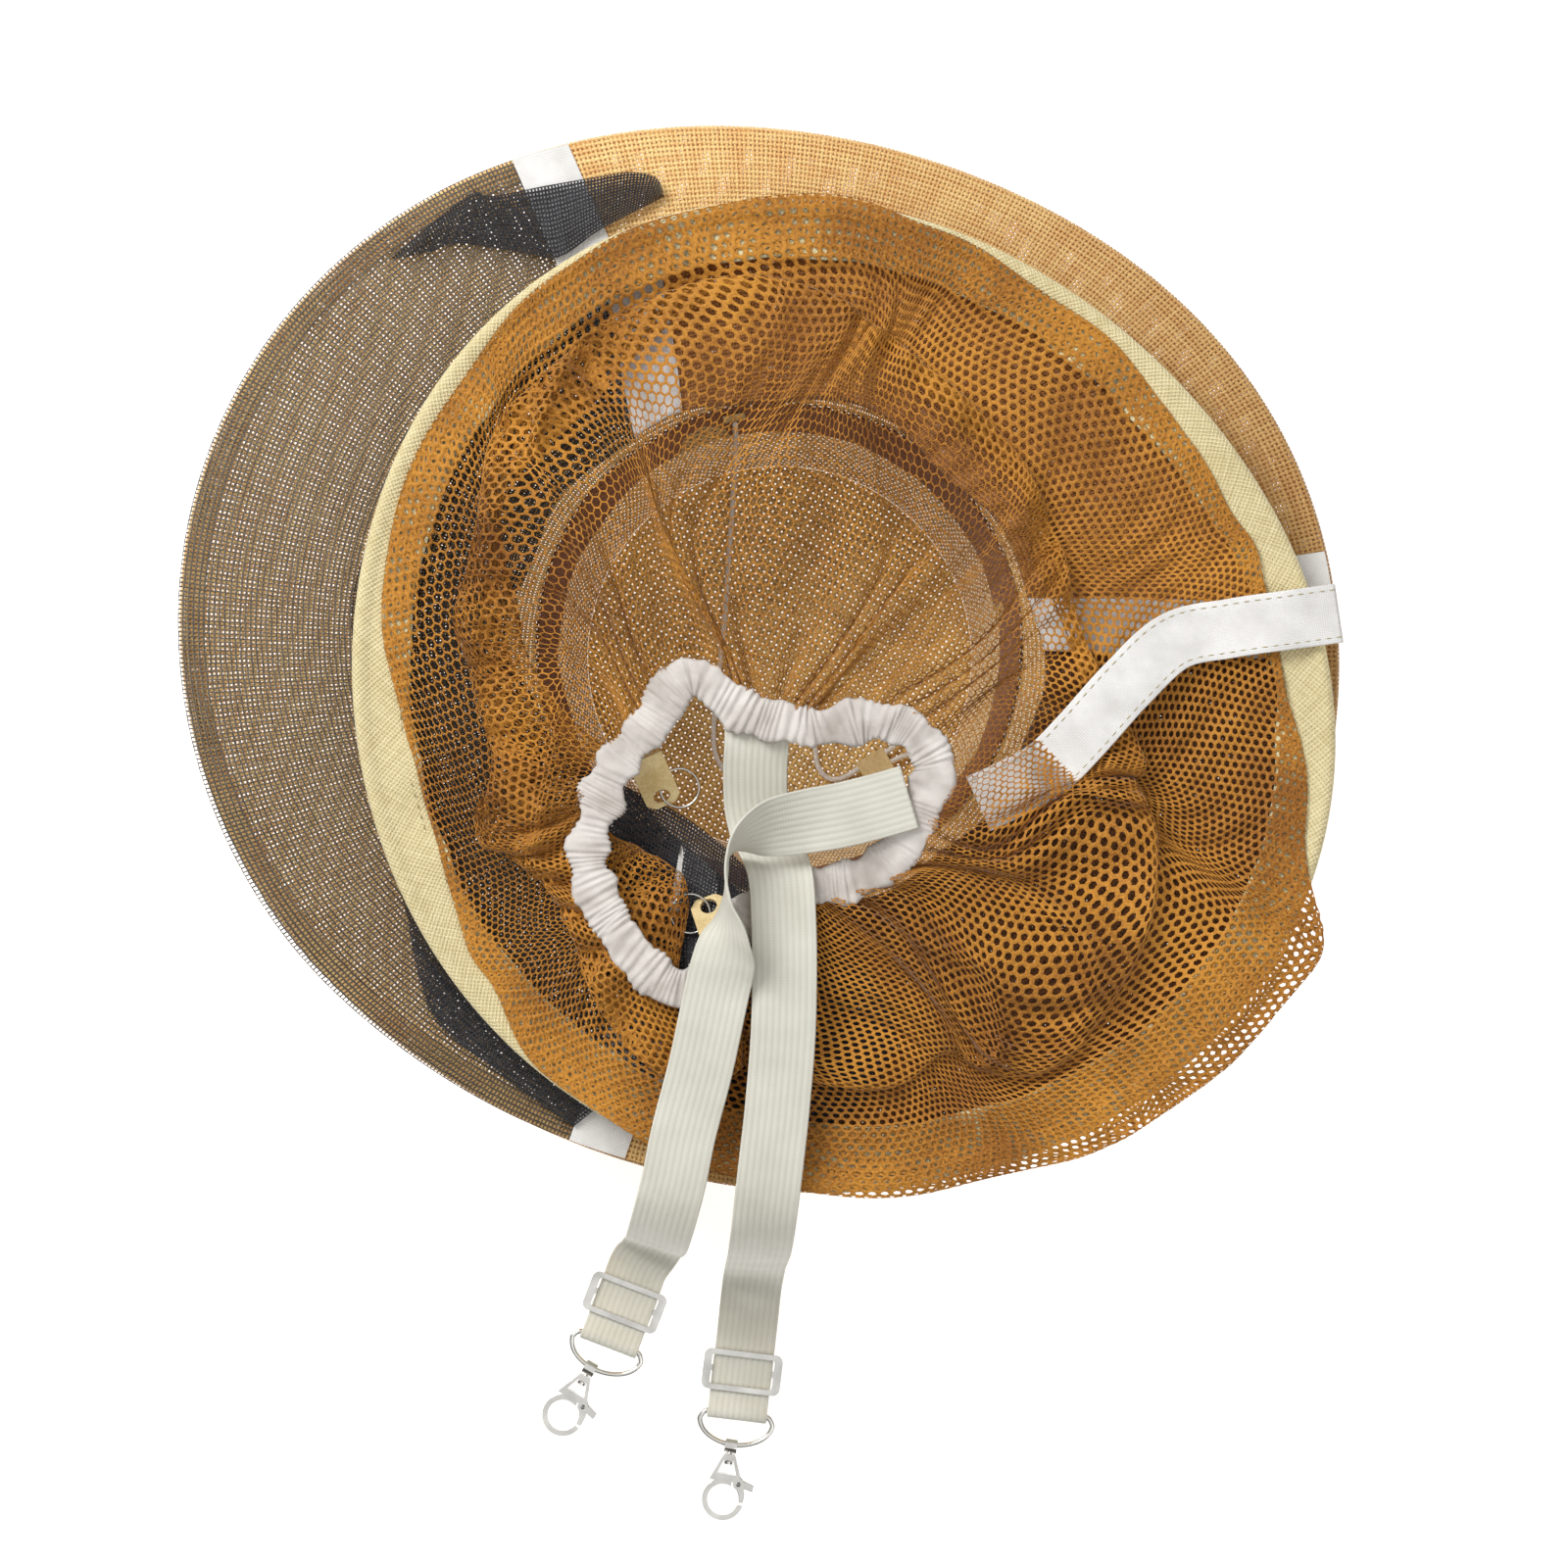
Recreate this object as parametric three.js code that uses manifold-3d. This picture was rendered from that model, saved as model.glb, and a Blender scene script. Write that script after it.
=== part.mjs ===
// Beekeeping hat and veil: a round cloth hat with a hooped see-through curtain, a netting
// neck piece, a gathered collar and two elastic straps with clasps. It is modelled collapsed
// and lying crown-down, millimetres, +Z up. The origin is the middle of the crown's outer
// face, which rests on z = 0. The wearer's front is -X; the straps lie towards -Y.
import * as THREE from 'three';
import { mergeVertices } from 'three/addons/utils/BufferGeometryUtils.js';
import Module from 'manifold-3d';

const wasm = await Module();
wasm.setup();

// ---- driving dimensions ----------------------------------------------------------------
const GAP = 0.3;                 // between pieces that touch
const RING_STEPS = 40;           // stations round the large rings
const CLOTH = 1.5;               // lined hat cloth

const CROWN_DEPTH = 92;
const CROWN_TIP_RADIUS = 80;
const CROWN_MOUTH_RADIUS = 97;
const SWEATBAND_DEPTH = 36;
const SWEATBAND_THICKNESS = 1;

const BRIM_CENTRE = new THREE.Vector2(-1.2, -6);
const BRIM_RADIUS = 222.4;
const BRIM_OVAL = 15.75;         // how far its edge is pressed out of round
const BRIM_LONG_SIDE = 161;      // degrees, where it stands out furthest
const BRIM_EDGE_Z = 103.75;
const BRIM_WIRE_RADIUS = 1.2;

const FOLD_CENTRE = new THREE.Vector2(-4, -8);
const FOLD_RADIUS = 106;         // how far in the collapsed curtain folds
const CURTAIN_THICKNESS = 1.2;
const TAPE_THICKNESS = 0.7;
const TAPE_HALF_ANGLE = 3;       // degrees, a 23 mm tape at the brim's edge
const SEAM_ANGLES = [8, 115, 250];

const HOOP_CENTRE = new THREE.Vector2(22.4, -21.8);
const HOOP_WIRE_RING = 187.7;    // mean radius of the hoop's centre line
const HOOP_OVAL = 7.5;           // how far it is squeezed into an oval
const HOOP_LONG_AXIS = -46;      // degrees
const HOOP_BEND = 2.8;           // how far it is bent towards three sides
const HOOP_BEND_AXIS = -11;      // degrees
const HOOP_WIRE_RADIUS = 1.5;
const HOOP_Z = 127;

const NECK_CENTRE = new THREE.Vector2(-15, -75);
const COLLAR_Z = 139;
const COLLAR_STEPS = 3;          // stations between two collar points
const NET_THICKNESS = 1.6;

const STRAP_WIDTH = 25;
const STRAP_THICKNESS = 1.2;
const STRAP_RUN_Z = 2.7;         // strap's middle where it lies through its slide
const D_RING_Z = 2.8;
const D_RING_WIRE = 1.2;
const D_RING_HALF_WIDTH = 15.3;
const D_RING_ARC_DEPTH = 9.9;
const D_RING_SHOULDER = 3;
const TRIGLIDE_PLACE = 18;       // from the D-ring's bar to the slide's middle

const SPLIT_RING_RADIUS = 7.6;
const SPLIT_RING_WIRE = 0.8;
const TAB_LENGTH = 24;
const TAB_WIDTH = 14;
const TAB_THICKNESS = 1.6;
const TAB_HOLE_PLACE = 19.5;
const TAB_HOLE_RADIUS = 3.4;
const TAB_PITCH = 35;            // degrees down from the collar

const CORD_RADIUS = 1.1;
const FLOOR = 3.9;               // the cord's middle where it lies on the crown's floor

// ---- materials -------------------------------------------------------------------------
const material = (color, roughness, metalness = 0) =>
  new THREE.MeshStandardMaterial({ color, roughness, metalness });

const tanCloth = () => material(0xdcae74, 0.9);
const brownLining = () => material(0x96551e, 0.8);
const blackScreen = () => material(0x2a2826, 0.9);
const whiteCloth = () => material(0xf2f1f0, 0.85);
const canvas = () => material(0xe0d69a, 0.9);
const netting = () => material(0xc88732, 0.85);
const elastic = () => material(0xf0efe6, 0.85);
const leather = () => material(0xd9c184, 0.75);
const steel = () => material(0x9a9a98, 0.35, 1);
const nickel = () => material(0xc9c5bb, 0.25, 1);

// ---- geometry helpers ------------------------------------------------------------------
const radians = THREE.MathUtils.degToRad;

function ringPoint(centre, radius, angle, z) {
  return new THREE.Vector3(centre.x + radius * Math.cos(angle), centre.y + radius * Math.sin(angle), z);
}

function facingOut(geometry) {
  const position = geometry.getAttribute('position');
  const index = geometry.getIndex().array;
  const [a, b, c] = [new THREE.Vector3(), new THREE.Vector3(), new THREE.Vector3()];
  let volume = 0;
  for (let i = 0; i < index.length; i += 3) {
    a.fromBufferAttribute(position, index[i]);
    b.fromBufferAttribute(position, index[i + 1]);
    c.fromBufferAttribute(position, index[i + 2]);
    volume += a.dot(b.cross(c));
  }
  if (volume < 0) geometry.setIndex([...index].reverse());
  return geometry;
}

// Joins equal section loops into one closed body: round in a ring, or with capped ends,
// where outline is the section drawn flat.
function loft(loops, outline = null) {
  const count = loops[0].length;
  const spans = outline ? loops.length - 1 : loops.length;
  const index = [];
  for (let i = 0; i < spans; i += 1) {
    const next = (i + 1) % loops.length;
    for (let j = 0; j < count; j += 1) {
      const k = (j + 1) % count;
      index.push(i * count + j, next * count + j, next * count + k);
      index.push(i * count + j, next * count + k, i * count + k);
    }
  }
  if (outline) {
    const flat = outline.map(([x, y]) => new THREE.Vector2(x, y));
    const last = (loops.length - 1) * count;
    for (const face of THREE.ShapeUtils.triangulateShape(flat, [])) {
      const corners = face.map((i) => flat[i]);
      const sameTurn = THREE.ShapeUtils.isClockWise(corners) === THREE.ShapeUtils.isClockWise(flat);
      const [p, q, r] = sameTurn ? face : [...face].reverse();
      index.push(p, q, r, last + r, last + q, last + p);
    }
  }
  const geometry = new THREE.BufferGeometry();
  const coordinates = loops.flat().flatMap((point) => [point.x, point.y, point.z]);
  geometry.setAttribute('position', new THREE.Float32BufferAttribute(coordinates, 3));
  geometry.setIndex(index);
  return facingOut(geometry);
}

// A full ring whose section is drawn as [outwards, up] offsets. An oval gives how much is
// added to the radius at each angle.
function ringOf(section, centre, radius, z, { steps = RING_STEPS, oval = () => 0 } = {}) {
  const loops = [];
  for (let i = 0; i < steps; i += 1) {
    const angle = (2 * Math.PI * i) / steps;
    const reach = radius + oval(angle);
    loops.push(section.map(([out, up]) => ringPoint(centre, reach + out, angle, z + up)));
  }
  return loft(loops);
}

function circleSection(radius, sides) {
  return Array.from({ length: sides }, (_, i) => {
    const angle = (2 * Math.PI * i) / sides;
    return [radius * Math.cos(angle), radius * Math.sin(angle)];
  });
}

// A round bar bent along a closed flat path in the XY plane.
function closedWire(points, radius, sides, steps) {
  const curve = new THREE.CatmullRomCurve3(points.map(([x, y]) => new THREE.Vector3(x, y, 0)), true);
  const section = circleSection(radius, sides);
  const loops = [];
  for (let i = 0; i < steps; i += 1) {
    const middle = curve.getPoint(i / steps);
    const tangent = curve.getTangent(i / steps);
    const side = new THREE.Vector3(tangent.y, -tangent.x, 0);
    loops.push(section.map(([out, up]) => middle.clone().addScaledVector(side, out).setZ(up)));
  }
  return loft(loops);
}

// A flat band along stations [x, y, z, acrossX, acrossY, acrossZ].
function ribbon(stations, width, thickness, steps = 2) {
  const path = new THREE.CatmullRomCurve3(stations.map((s) => new THREE.Vector3(s[0], s[1], s[2])));
  const sides = new THREE.CatmullRomCurve3(stations.map((s) => new THREE.Vector3(s[3], s[4], s[5])));
  path.curveType = 'catmullrom';
  sides.curveType = 'catmullrom';
  const count = (stations.length - 1) * steps;
  const outline = [[-width / 2, -thickness / 2], [width / 2, -thickness / 2],
    [width / 2, thickness / 2], [-width / 2, thickness / 2]];
  const loops = [];
  for (let i = 0; i <= count; i += 1) {
    const middle = path.getPoint(i / count);
    const along = path.getTangent(i / count);
    const across = sides.getPoint(i / count);
    across.addScaledVector(along, -across.dot(along)).normalize();
    const up = new THREE.Vector3().crossVectors(along, across);
    loops.push(outline.map(([u, v]) => middle.clone().addScaledVector(across, u).addScaledVector(up, v)));
  }
  return loft(loops, outline);
}

function solid(geometry) {
  const bare = (geometry.index ? geometry.toNonIndexed() : geometry).clone();
  bare.deleteAttribute('normal');
  bare.deleteAttribute('uv');
  const merged = mergeVertices(bare);
  return new wasm.Manifold(new wasm.Mesh({
    numProp: 3,
    vertProperties: new Float32Array(merged.getAttribute('position').array),
    triVerts: new Uint32Array(merged.index.array),
  }));
}

function geometryOf(manifold) {
  const mesh = manifold.getMesh();
  const geometry = new THREE.BufferGeometry();
  geometry.setAttribute('position', new THREE.BufferAttribute(mesh.vertProperties, 3));
  geometry.setIndex(new THREE.BufferAttribute(mesh.triVerts, 1));
  return geometry;
}

// A flat outline given thickness, centred on z = 0.
function plate(shape, thickness, curveSegments = 6) {
  const options = { depth: thickness, bevelEnabled: false, curveSegments };
  const geometry = new THREE.ExtrudeGeometry(shape, options);
  return geometry.translate(0, 0, -thickness / 2);
}

function outlineOf(points) {
  return new THREE.Shape(points.map(([x, y]) => new THREE.Vector2(x, y)));
}

function boxAt(sizes, place) {
  return new THREE.BoxGeometry(...sizes).translate(...place);
}

const model = new THREE.Group();

function add(name, geometry, finish, parent = model) {
  const mesh = new THREE.Mesh(geometry, finish);
  mesh.name = name;
  parent.add(mesh);
  return mesh;
}

// ---- hat: crown, sweatband, brim ---------------------------------------------------------
const ORIGIN = new THREE.Vector2(0, 0);
const CROWN_FLARE = (CROWN_MOUTH_RADIUS - CROWN_TIP_RADIUS) / CROWN_DEPTH;

const crownInside = (z) => CROWN_TIP_RADIUS + CROWN_FLARE * z;

function buildCrown() {
  const tip = new THREE.LatheGeometry([
    new THREE.Vector2(0, 0),
    new THREE.Vector2(CROWN_TIP_RADIUS - GAP, 0),
    new THREE.Vector2(CROWN_TIP_RADIUS - GAP, CLOTH),
    new THREE.Vector2(0, CLOTH),
  ], RING_STEPS).rotateX(Math.PI / 2);
  add('crown_tip', tip, tanCloth());

  const side = [[0, 0], [CLOTH, 0], [CLOTH + CROWN_FLARE * CROWN_DEPTH, CROWN_DEPTH],
    [CROWN_FLARE * CROWN_DEPTH, CROWN_DEPTH]];
  add('crown_side', ringOf(side, ORIGIN, CROWN_TIP_RADIUS, 0), tanCloth());

  const bottom = CROWN_DEPTH - SWEATBAND_DEPTH - 1;
  const rise = CROWN_FLARE * SWEATBAND_DEPTH;
  const band = [[-GAP - SWEATBAND_THICKNESS, 0], [-GAP, 0], [rise - GAP, SWEATBAND_DEPTH],
    [rise - GAP - SWEATBAND_THICKNESS, SWEATBAND_DEPTH]];
  add('sweatband', ringOf(band, ORIGIN, crownInside(bottom), bottom), brownLining());
}

// The lying hat's brim swells towards its long side and stays nearly round opposite.
function brimOval(angle) {
  const turn = angle - radians(BRIM_LONG_SIDE);
  const swell = Math.cos(turn) > 0 ? Math.cos(2 * turn) : -(Math.sin(turn) ** 4);
  return BRIM_OVAL * swell;
}

function buildBrim() {
  const mouth = CROWN_MOUTH_RADIUS - 1;
  const half = CLOTH / 2;
  const mouthZ = CROWN_DEPTH + GAP + half;
  const loops = [];
  for (let i = 0; i < RING_STEPS; i += 1) {
    const angle = (2 * Math.PI * i) / RING_STEPS;
    const edge = BRIM_RADIUS + brimOval(angle) - 4.5;
    const knee = edge - 9;
    loops.push([
      ringPoint(ORIGIN, mouth, angle, mouthZ - half),
      ringPoint(BRIM_CENTRE, knee, angle, BRIM_EDGE_Z - half),
      ringPoint(BRIM_CENTRE, edge, angle, BRIM_EDGE_Z - half),
      ringPoint(BRIM_CENTRE, edge, angle, BRIM_EDGE_Z + half),
      ringPoint(BRIM_CENTRE, knee, angle, BRIM_EDGE_Z + half),
      ringPoint(ORIGIN, mouth, angle, mouthZ + half),
    ]);
  }
  add('brim', loft(loops), tanCloth());

  const wireRing = BRIM_RADIUS - 2.3;
  const wire = circleSection(BRIM_WIRE_RADIUS, 6);
  const pressed = { oval: brimOval };
  add('brim_wire', ringOf(wire, BRIM_CENTRE, wireRing, BRIM_EDGE_Z, pressed), steel());

  const binding = [[-7, 1.7], [-1.2, 2.0], [1.2, 1.9], [2.3, 0], [1.2, -1.9], [-1.2, -2.0], [-7, -1.7],
    [-7, -1.1], [-1.3, -1.3], [0.9, -1.4], [1.7, 0], [0.9, 1.4], [-1.3, 1.3], [-7, 1.1]];
  add('brim_binding', ringOf(binding, BRIM_CENTRE, wireRing, BRIM_EDGE_Z, pressed), tanCloth());
}

// The hoop's springy wire isn't round: the cloth sewn to it pulls it out of shape.
function hoopOval(angle) {
  const oval = HOOP_OVAL * Math.cos(2 * (angle - radians(HOOP_LONG_AXIS)));
  return oval + HOOP_BEND * Math.cos(3 * (angle - radians(HOOP_BEND_AXIS)));
}

// ---- curtain: three panels and three seam tapes, folded in over the brim -----------------
// Heights of the lower and upper leg at the brim, the inner fold and the hoop. inset moves
// a strip to the inside of the fold, where the tapes lie on the panels' outer face.
function foldedLoop(angle, inset, thickness) {
  const half = thickness / 2;
  const lowerEdge = 107.2 + inset;
  const lowerFold = 110.4 + inset;
  const upperFold = 117.6 - inset;
  const upperEdge = 121 - inset;
  const turnZ = (lowerFold + upperFold) / 2;
  const fold = FOLD_RADIUS + 2 * inset;
  const brimEdge = BRIM_RADIUS + brimOval(angle) - 2;
  const hoopEdge = HOOP_WIRE_RING + hoopOval(angle) - 4;
  const at = (centre, radius, z) => ringPoint(centre, radius, angle, z);
  return [
    at(BRIM_CENTRE, brimEdge, lowerEdge - half),
    at(FOLD_CENTRE, fold, lowerFold - half),
    at(FOLD_CENTRE, fold - 3.4, turnZ),
    at(FOLD_CENTRE, fold, upperFold + half),
    at(HOOP_CENTRE, hoopEdge, upperEdge + half),
    at(HOOP_CENTRE, hoopEdge, upperEdge - half),
    at(FOLD_CENTRE, fold + 0.6, upperFold - half),
    at(FOLD_CENTRE, fold - 1.8, turnZ),
    at(FOLD_CENTRE, fold + 0.6, lowerFold + half),
    at(BRIM_CENTRE, brimEdge, lowerEdge + half),
  ];
}

function foldedStrip(from, to, inset, thickness) {
  const steps = Math.max(2, Math.round((to - from) / (360 / RING_STEPS)));
  const loops = [];
  for (let i = 0; i <= steps; i += 1) {
    loops.push(foldedLoop(radians(from + ((to - from) * i) / steps), inset, thickness));
  }
  const outline = foldedLoop(0, inset, thickness).map((point) => [point.x, point.z]);
  return loft(loops, outline);
}

function buildCurtain() {
  const [right, top, bottom] = SEAM_ANGLES;
  const seam = 0.2;
  add('front_screen', foldedStrip(top + seam, bottom - seam, 0, CURTAIN_THICKNESS), blackScreen());
  add('rear_panel_a', foldedStrip(right + seam, top - seam, 0, CURTAIN_THICKNESS), tanCloth());
  add('rear_panel_b', foldedStrip(bottom + seam, 360 + right - seam, 0, CURTAIN_THICKNESS), tanCloth());
  ['back', 'side_a', 'side_b'].forEach((name, i) => {
    const from = SEAM_ANGLES[i] - TAPE_HALF_ANGLE;
    const to = SEAM_ANGLES[i] + TAPE_HALF_ANGLE;
    add(`curtain_tape_${name}`, foldedStrip(from, to, 1.7, TAPE_THICKNESS), whiteCloth());
  });
}

// ---- hoop: wire and its canvas casing ------------------------------------------------------
function buildHoop() {
  const wire = circleSection(HOOP_WIRE_RADIUS, 8);
  const bent = { oval: hoopOval };
  add('hoop_wire', ringOf(wire, HOOP_CENTRE, HOOP_WIRE_RING, HOOP_Z, bent), steel());
  const casing = [[-19, 0.95], [-3.5, 1.2], [-1.7, 2.4], [1.6, 2.3], [2.9, 0], [1.6, -2.3], [-1.7, -2.4],
    [-3.5, -1.2], [-19, -0.95], [-19, -0.25], [-3.2, -0.5], [-1.4, -1.75], [1.3, -1.65], [2.2, 0],
    [1.3, 1.65], [-1.4, 1.75], [-3.2, 0.5], [-19, 0.25]];
  add('hoop_band', ringOf(casing, HOOP_CENTRE, HOOP_WIRE_RING, HOOP_Z, bent), canvas());
}

// ---- collar and neck net ---------------------------------------------------------------------
const COLLAR_POINTS = [[-34, -17], [-50, -34], [-65, -55], [-75, -80], [-69, -103], [-54, -122], [-36, -133],
  [-23, -124], [-9, -108], [10, -96], [30, -93], [45, -83], [54, -66], [59, -50], [50, -36], [33, -30],
  [10, -35], [-12, -28]];
const collarCurve = new THREE.CatmullRomCurve3(
  COLLAR_POINTS.map(([x, y]) => new THREE.Vector3(x, y, COLLAR_Z)), true);
const collarCount = COLLAR_POINTS.length * COLLAR_STEPS;

function collarStations() {
  return Array.from({ length: collarCount }, (_, i) => {
    const middle = collarCurve.getPoint(i / collarCount);
    const tangent = collarCurve.getTangent(i / collarCount);
    return { middle, outward: new THREE.Vector3(-tangent.y, tangent.x, 0).multiplyScalar(-1) };
  });
}

function collarRing(section) {
  return loft(collarStations().map(({ middle, outward }) =>
    section.map(([out, up]) => middle.clone().addScaledVector(outward, out).setZ(COLLAR_Z + up))));
}

function buildCollar() {
  const casing = [[7, 1.6], [-6.3, 1.6], [-7.2, 0], [-6.3, -1.6], [7, -1.6],
    [7, -1], [-6, -1], [-6, 1], [7, 1]];
  add('collar_casing', collarRing(casing), whiteCloth());
  add('collar_elastic', collarRing([[5.5, 0.6], [-5.5, 0.6], [-5.5, -0.6], [5.5, -0.6]]), elastic());
}

// The point of a circle that a ray from the neck's centre reaches.
function rayToCircle(direction, centre, radius) {
  const offset = NECK_CENTRE.clone().sub(centre);
  const b = offset.dot(direction);
  const reach = -b + Math.sqrt(b * b - offset.lengthSq() + radius * radius);
  return NECK_CENTRE.clone().addScaledVector(direction, reach);
}

function buildNet() {
  const outerRadius = HOOP_WIRE_RING - 20.5;
  const heights = [HOOP_Z, 130.4, 134.6, COLLAR_Z];
  const loops = collarStations().map(({ middle, outward }) => {
    const towards = new THREE.Vector2(middle.x, middle.y).sub(NECK_CENTRE).normalize();
    const outer = rayToCircle(towards, HOOP_CENTRE, outerRadius).sub(HOOP_CENTRE);
    outer.setLength(outerRadius + hoopOval(outer.angle())).add(HOOP_CENTRE);
    const inner = new THREE.Vector2(middle.x + 9 * outward.x, middle.y + 9 * outward.y);
    const row = heights.map((z, i) => {
      const place = outer.clone().lerp(inner, i / (heights.length - 1));
      return new THREE.Vector3(place.x, place.y, z);
    });
    const shifted = (amount) => row.map((point) => point.clone().setZ(point.z + amount));
    return [...shifted(-NET_THICKNESS / 2), ...shifted(NET_THICKNESS / 2).reverse()];
  });
  add('neck_net', loft(loops), netting());

  const tape = [[217, 10, 131.4], [196, 7, 131.4], [175, 4, 131.4], [153, -1, 133], [134, -18, 135.8],
    [115, -42, 138.6], [95, -57, 141], [77, -65, 143]];
  const stations = tape.map(([x, y, z], i) => {
    const [before, after] = [tape[Math.max(0, i - 1)], tape[Math.min(tape.length - 1, i + 1)]];
    const along = new THREE.Vector2(after[0] - before[0], after[1] - before[1]).normalize();
    return [x, y, z, -along.y, along.x, 0];
  });
  add('neck_seam_tape', ribbon(stations, 23, TAPE_THICKNESS), whiteCloth());
}

// ---- tabs and split rings inside the collar ----------------------------------------------
// Each tab hangs from the collar at root along heading, and its ring lies level, threaded
// through the tab's hole.
const TABS = [
  { name: 'front', root: [-52, -46, 135.4], heading: -66.7 },
  { name: 'side', root: [-22, -119, 135.4], heading: 109.3 },
];

function buildTab({ name, root, heading }) {
  const tab = new THREE.Group();
  tab.position.set(...root);
  tab.rotation.z = radians(heading);
  model.add(tab);

  const pitched = new THREE.Group();
  pitched.rotation.y = radians(TAB_PITCH);
  tab.add(pitched);
  const half = TAB_WIDTH / 2;
  const shape = outlineOf([[0, -half], [TAB_LENGTH - 3, -half], [TAB_LENGTH, -half + 3],
    [TAB_LENGTH, half - 3], [TAB_LENGTH - 3, half], [0, half]]);
  shape.holes.push(new THREE.Path().absarc(TAB_HOLE_PLACE, 0, TAB_HOLE_RADIUS, 0, 2 * Math.PI));
  add(`ring_tab_${name}`, plate(shape, TAB_THICKNESS), leather(), pitched);

  const ring = ringOf(circleSection(SPLIT_RING_WIRE, 6), ORIGIN, SPLIT_RING_RADIUS, 0, { steps: 24 });
  const mesh = add(`split_ring_${name}`, ring, nickel(), tab);
  const pitch = radians(TAB_PITCH);
  mesh.position.set(TAB_HOLE_PLACE * Math.cos(pitch), SPLIT_RING_RADIUS, -TAB_HOLE_PLACE * Math.sin(pitch));
}

// ---- straps, slides, D-rings and clasps ----------------------------------------------------
// Each strap: its hand-laid route from the collar to the floor, the middle of its D-ring's
// bar, and the headings of the D-ring and the clasp, in degrees from -Y.
const STRAPS = [
  {
    name: 'right',
    bar: [-17.8, -317.5],
    heading: -6.9,
    claspHeading: -9,
    route: [[-8.4, -27, 135.9, 1, 0, 0], [-8.6, -40, 135.4, 1, 0, 0], [-9.2, -52, 131.5, 1, 0, 0],
      [-8.6, -66, 128.5, 1, 0, 0], [-5.5, -77, 131, 1, 0, 0], [-1.5, -85, 140, 1, 0, 0],
      [0.6, -92, 145.4, 1, 0, 0], [1.6, -104, 147, 1, 0, 0], [2.1, -124, 146.6, 1, 0, 0],
      [1.6, -152, 144.2, 1, 0, 0], [-0.6, -180, 142, 1, 0, 0], [-2.8, -200, 140.4, 1, 0, 0],
      [-4.8, -217, 137.2, 1, 0, 0], [-6.4, -230.5, 127, 1, 0, 0], [-7.7, -240, 106, 1, 0, 0],
      [-8.8, -246, 78, 1, 0, 0], [-9.9, -252, 48, 1, 0, 0], [-10.8, -258.5, 20, 1, -0.1, 0],
      [-11.8, -266, 6.5, 1, -0.12, 0]],
  },
  {
    name: 'left',
    bar: [-71.3, -287.4],
    heading: -21,
    claspHeading: -30,
    route: [[50, -61.5, 143.6, 0.29, -0.96, 0], [38, -65, 146, 0.29, -0.96, 0],
      [24, -68.5, 149, 0.2, -0.98, 0], [10, -71, 152, 0.1, -0.98, -0.2],
      [-3, -73.5, 155.5, 0, -0.9, -0.45], [-13, -77, 157.5, 0, -0.55, -0.85],
      [-19, -83, 158, 0, -0.1, -1], [-20, -92, 157.5, 0, 0, -1], [-19.6, -102, 157, -0.15, 0, -1],
      [-19.2, -113, 155.5, -0.6, 0, -0.8], [-21, -124, 151.5, -0.95, 0, -0.3], [-24, -137, 147.8, -1, 0.1, 0],
      [-30, -165, 144.8, -1, 0.2, 0], [-36.5, -190, 142, -1, 0.25, 0], [-40.2, -208, 139.5, -1, 0.25, 0],
      [-43.4, -220.5, 135, -1, 0.25, 0], [-46.3, -230.5, 124, -1, 0.3, 0], [-48.3, -236.5, 104, -1, 0.3, 0],
      [-49.6, -240, 78, -1, 0.3, 0], [-51, -243, 48, -1, 0.33, 0], [-52.8, -246.2, 21, -1, 0.36, 0],
      [-54.9, -250, 7.5, -1, 0.38, 0]],
  },
];
// The strap's end seen from the side, as [towards the collar, up] from the bar's foot:
// straight through the slide, over the bar, round it and back underneath.
const STRAP_END = [[34, STRAP_RUN_Z], [24, STRAP_RUN_Z], [10, STRAP_RUN_Z], [5.2, 3.9], [2, 4.85], [0, 4.9],
  [-1.48, 4.28], [-2.1, 2.8], [-1.48, 1.32], [0, 0.7], [4, 0.7], [8.2, 0.7]];

function buildStrap({ name, bar, heading, route }) {
  const turn = radians(heading);
  const side = Math.sign(route.at(-1)[3]);
  const end = STRAP_END.map(([back, up]) => [
    bar[0] - back * Math.sin(turn), bar[1] + back * Math.cos(turn), up,
    side * Math.cos(turn), side * Math.sin(turn), 0,
  ]);
  add(`strap_${name}`, ribbon([...route, ...end], STRAP_WIDTH, STRAP_THICKNESS), elastic());
}

function triglideGeometry() {
  const [length, width] = [33, 17];
  const opening = [26.4, 12.4];
  const corner = 3;
  const rounded = (w, h, r) => new THREE.Shape()
    .absarc(w / 2 - r, h / 2 - r, r, 0, Math.PI / 2)
    .absarc(-w / 2 + r, h / 2 - r, r, Math.PI / 2, Math.PI)
    .absarc(-w / 2 + r, -h / 2 + r, r, Math.PI, 1.5 * Math.PI)
    .absarc(w / 2 - r, -h / 2 + r, r, 1.5 * Math.PI, 2 * Math.PI);
  const frame = rounded(length, width, corner);
  frame.holes.push(rounded(opening[0], opening[1], 1));
  const ring = plate(frame, 1.6, 4).translate(0, 0, 4.4);
  let body = solid(ring).add(solid(boxAt([31, 2.6, 1.6], [0, 0, 1])));
  for (const end of [-1, 1]) {
    body = body.add(solid(boxAt([2.2, 2.6, 4.4], [end * 14.4, 0, 2.4])));
  }
  return geometryOf(body);
}

function dRingGeometry() {
  const straight = [-13, -6.5, 0, 6.5, 13].map((x) => [x, 0]);
  const arc = [];
  for (let i = 0; i <= 12; i += 1) {
    const angle = (Math.PI * i) / 12;
    arc.push([D_RING_HALF_WIDTH * Math.cos(angle), -D_RING_SHOULDER - D_RING_ARC_DEPTH * Math.sin(angle)]);
  }
  return closedWire([...straight, ...arc], D_RING_WIRE, 8, 2 * (straight.length + arc.length));
}

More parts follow.
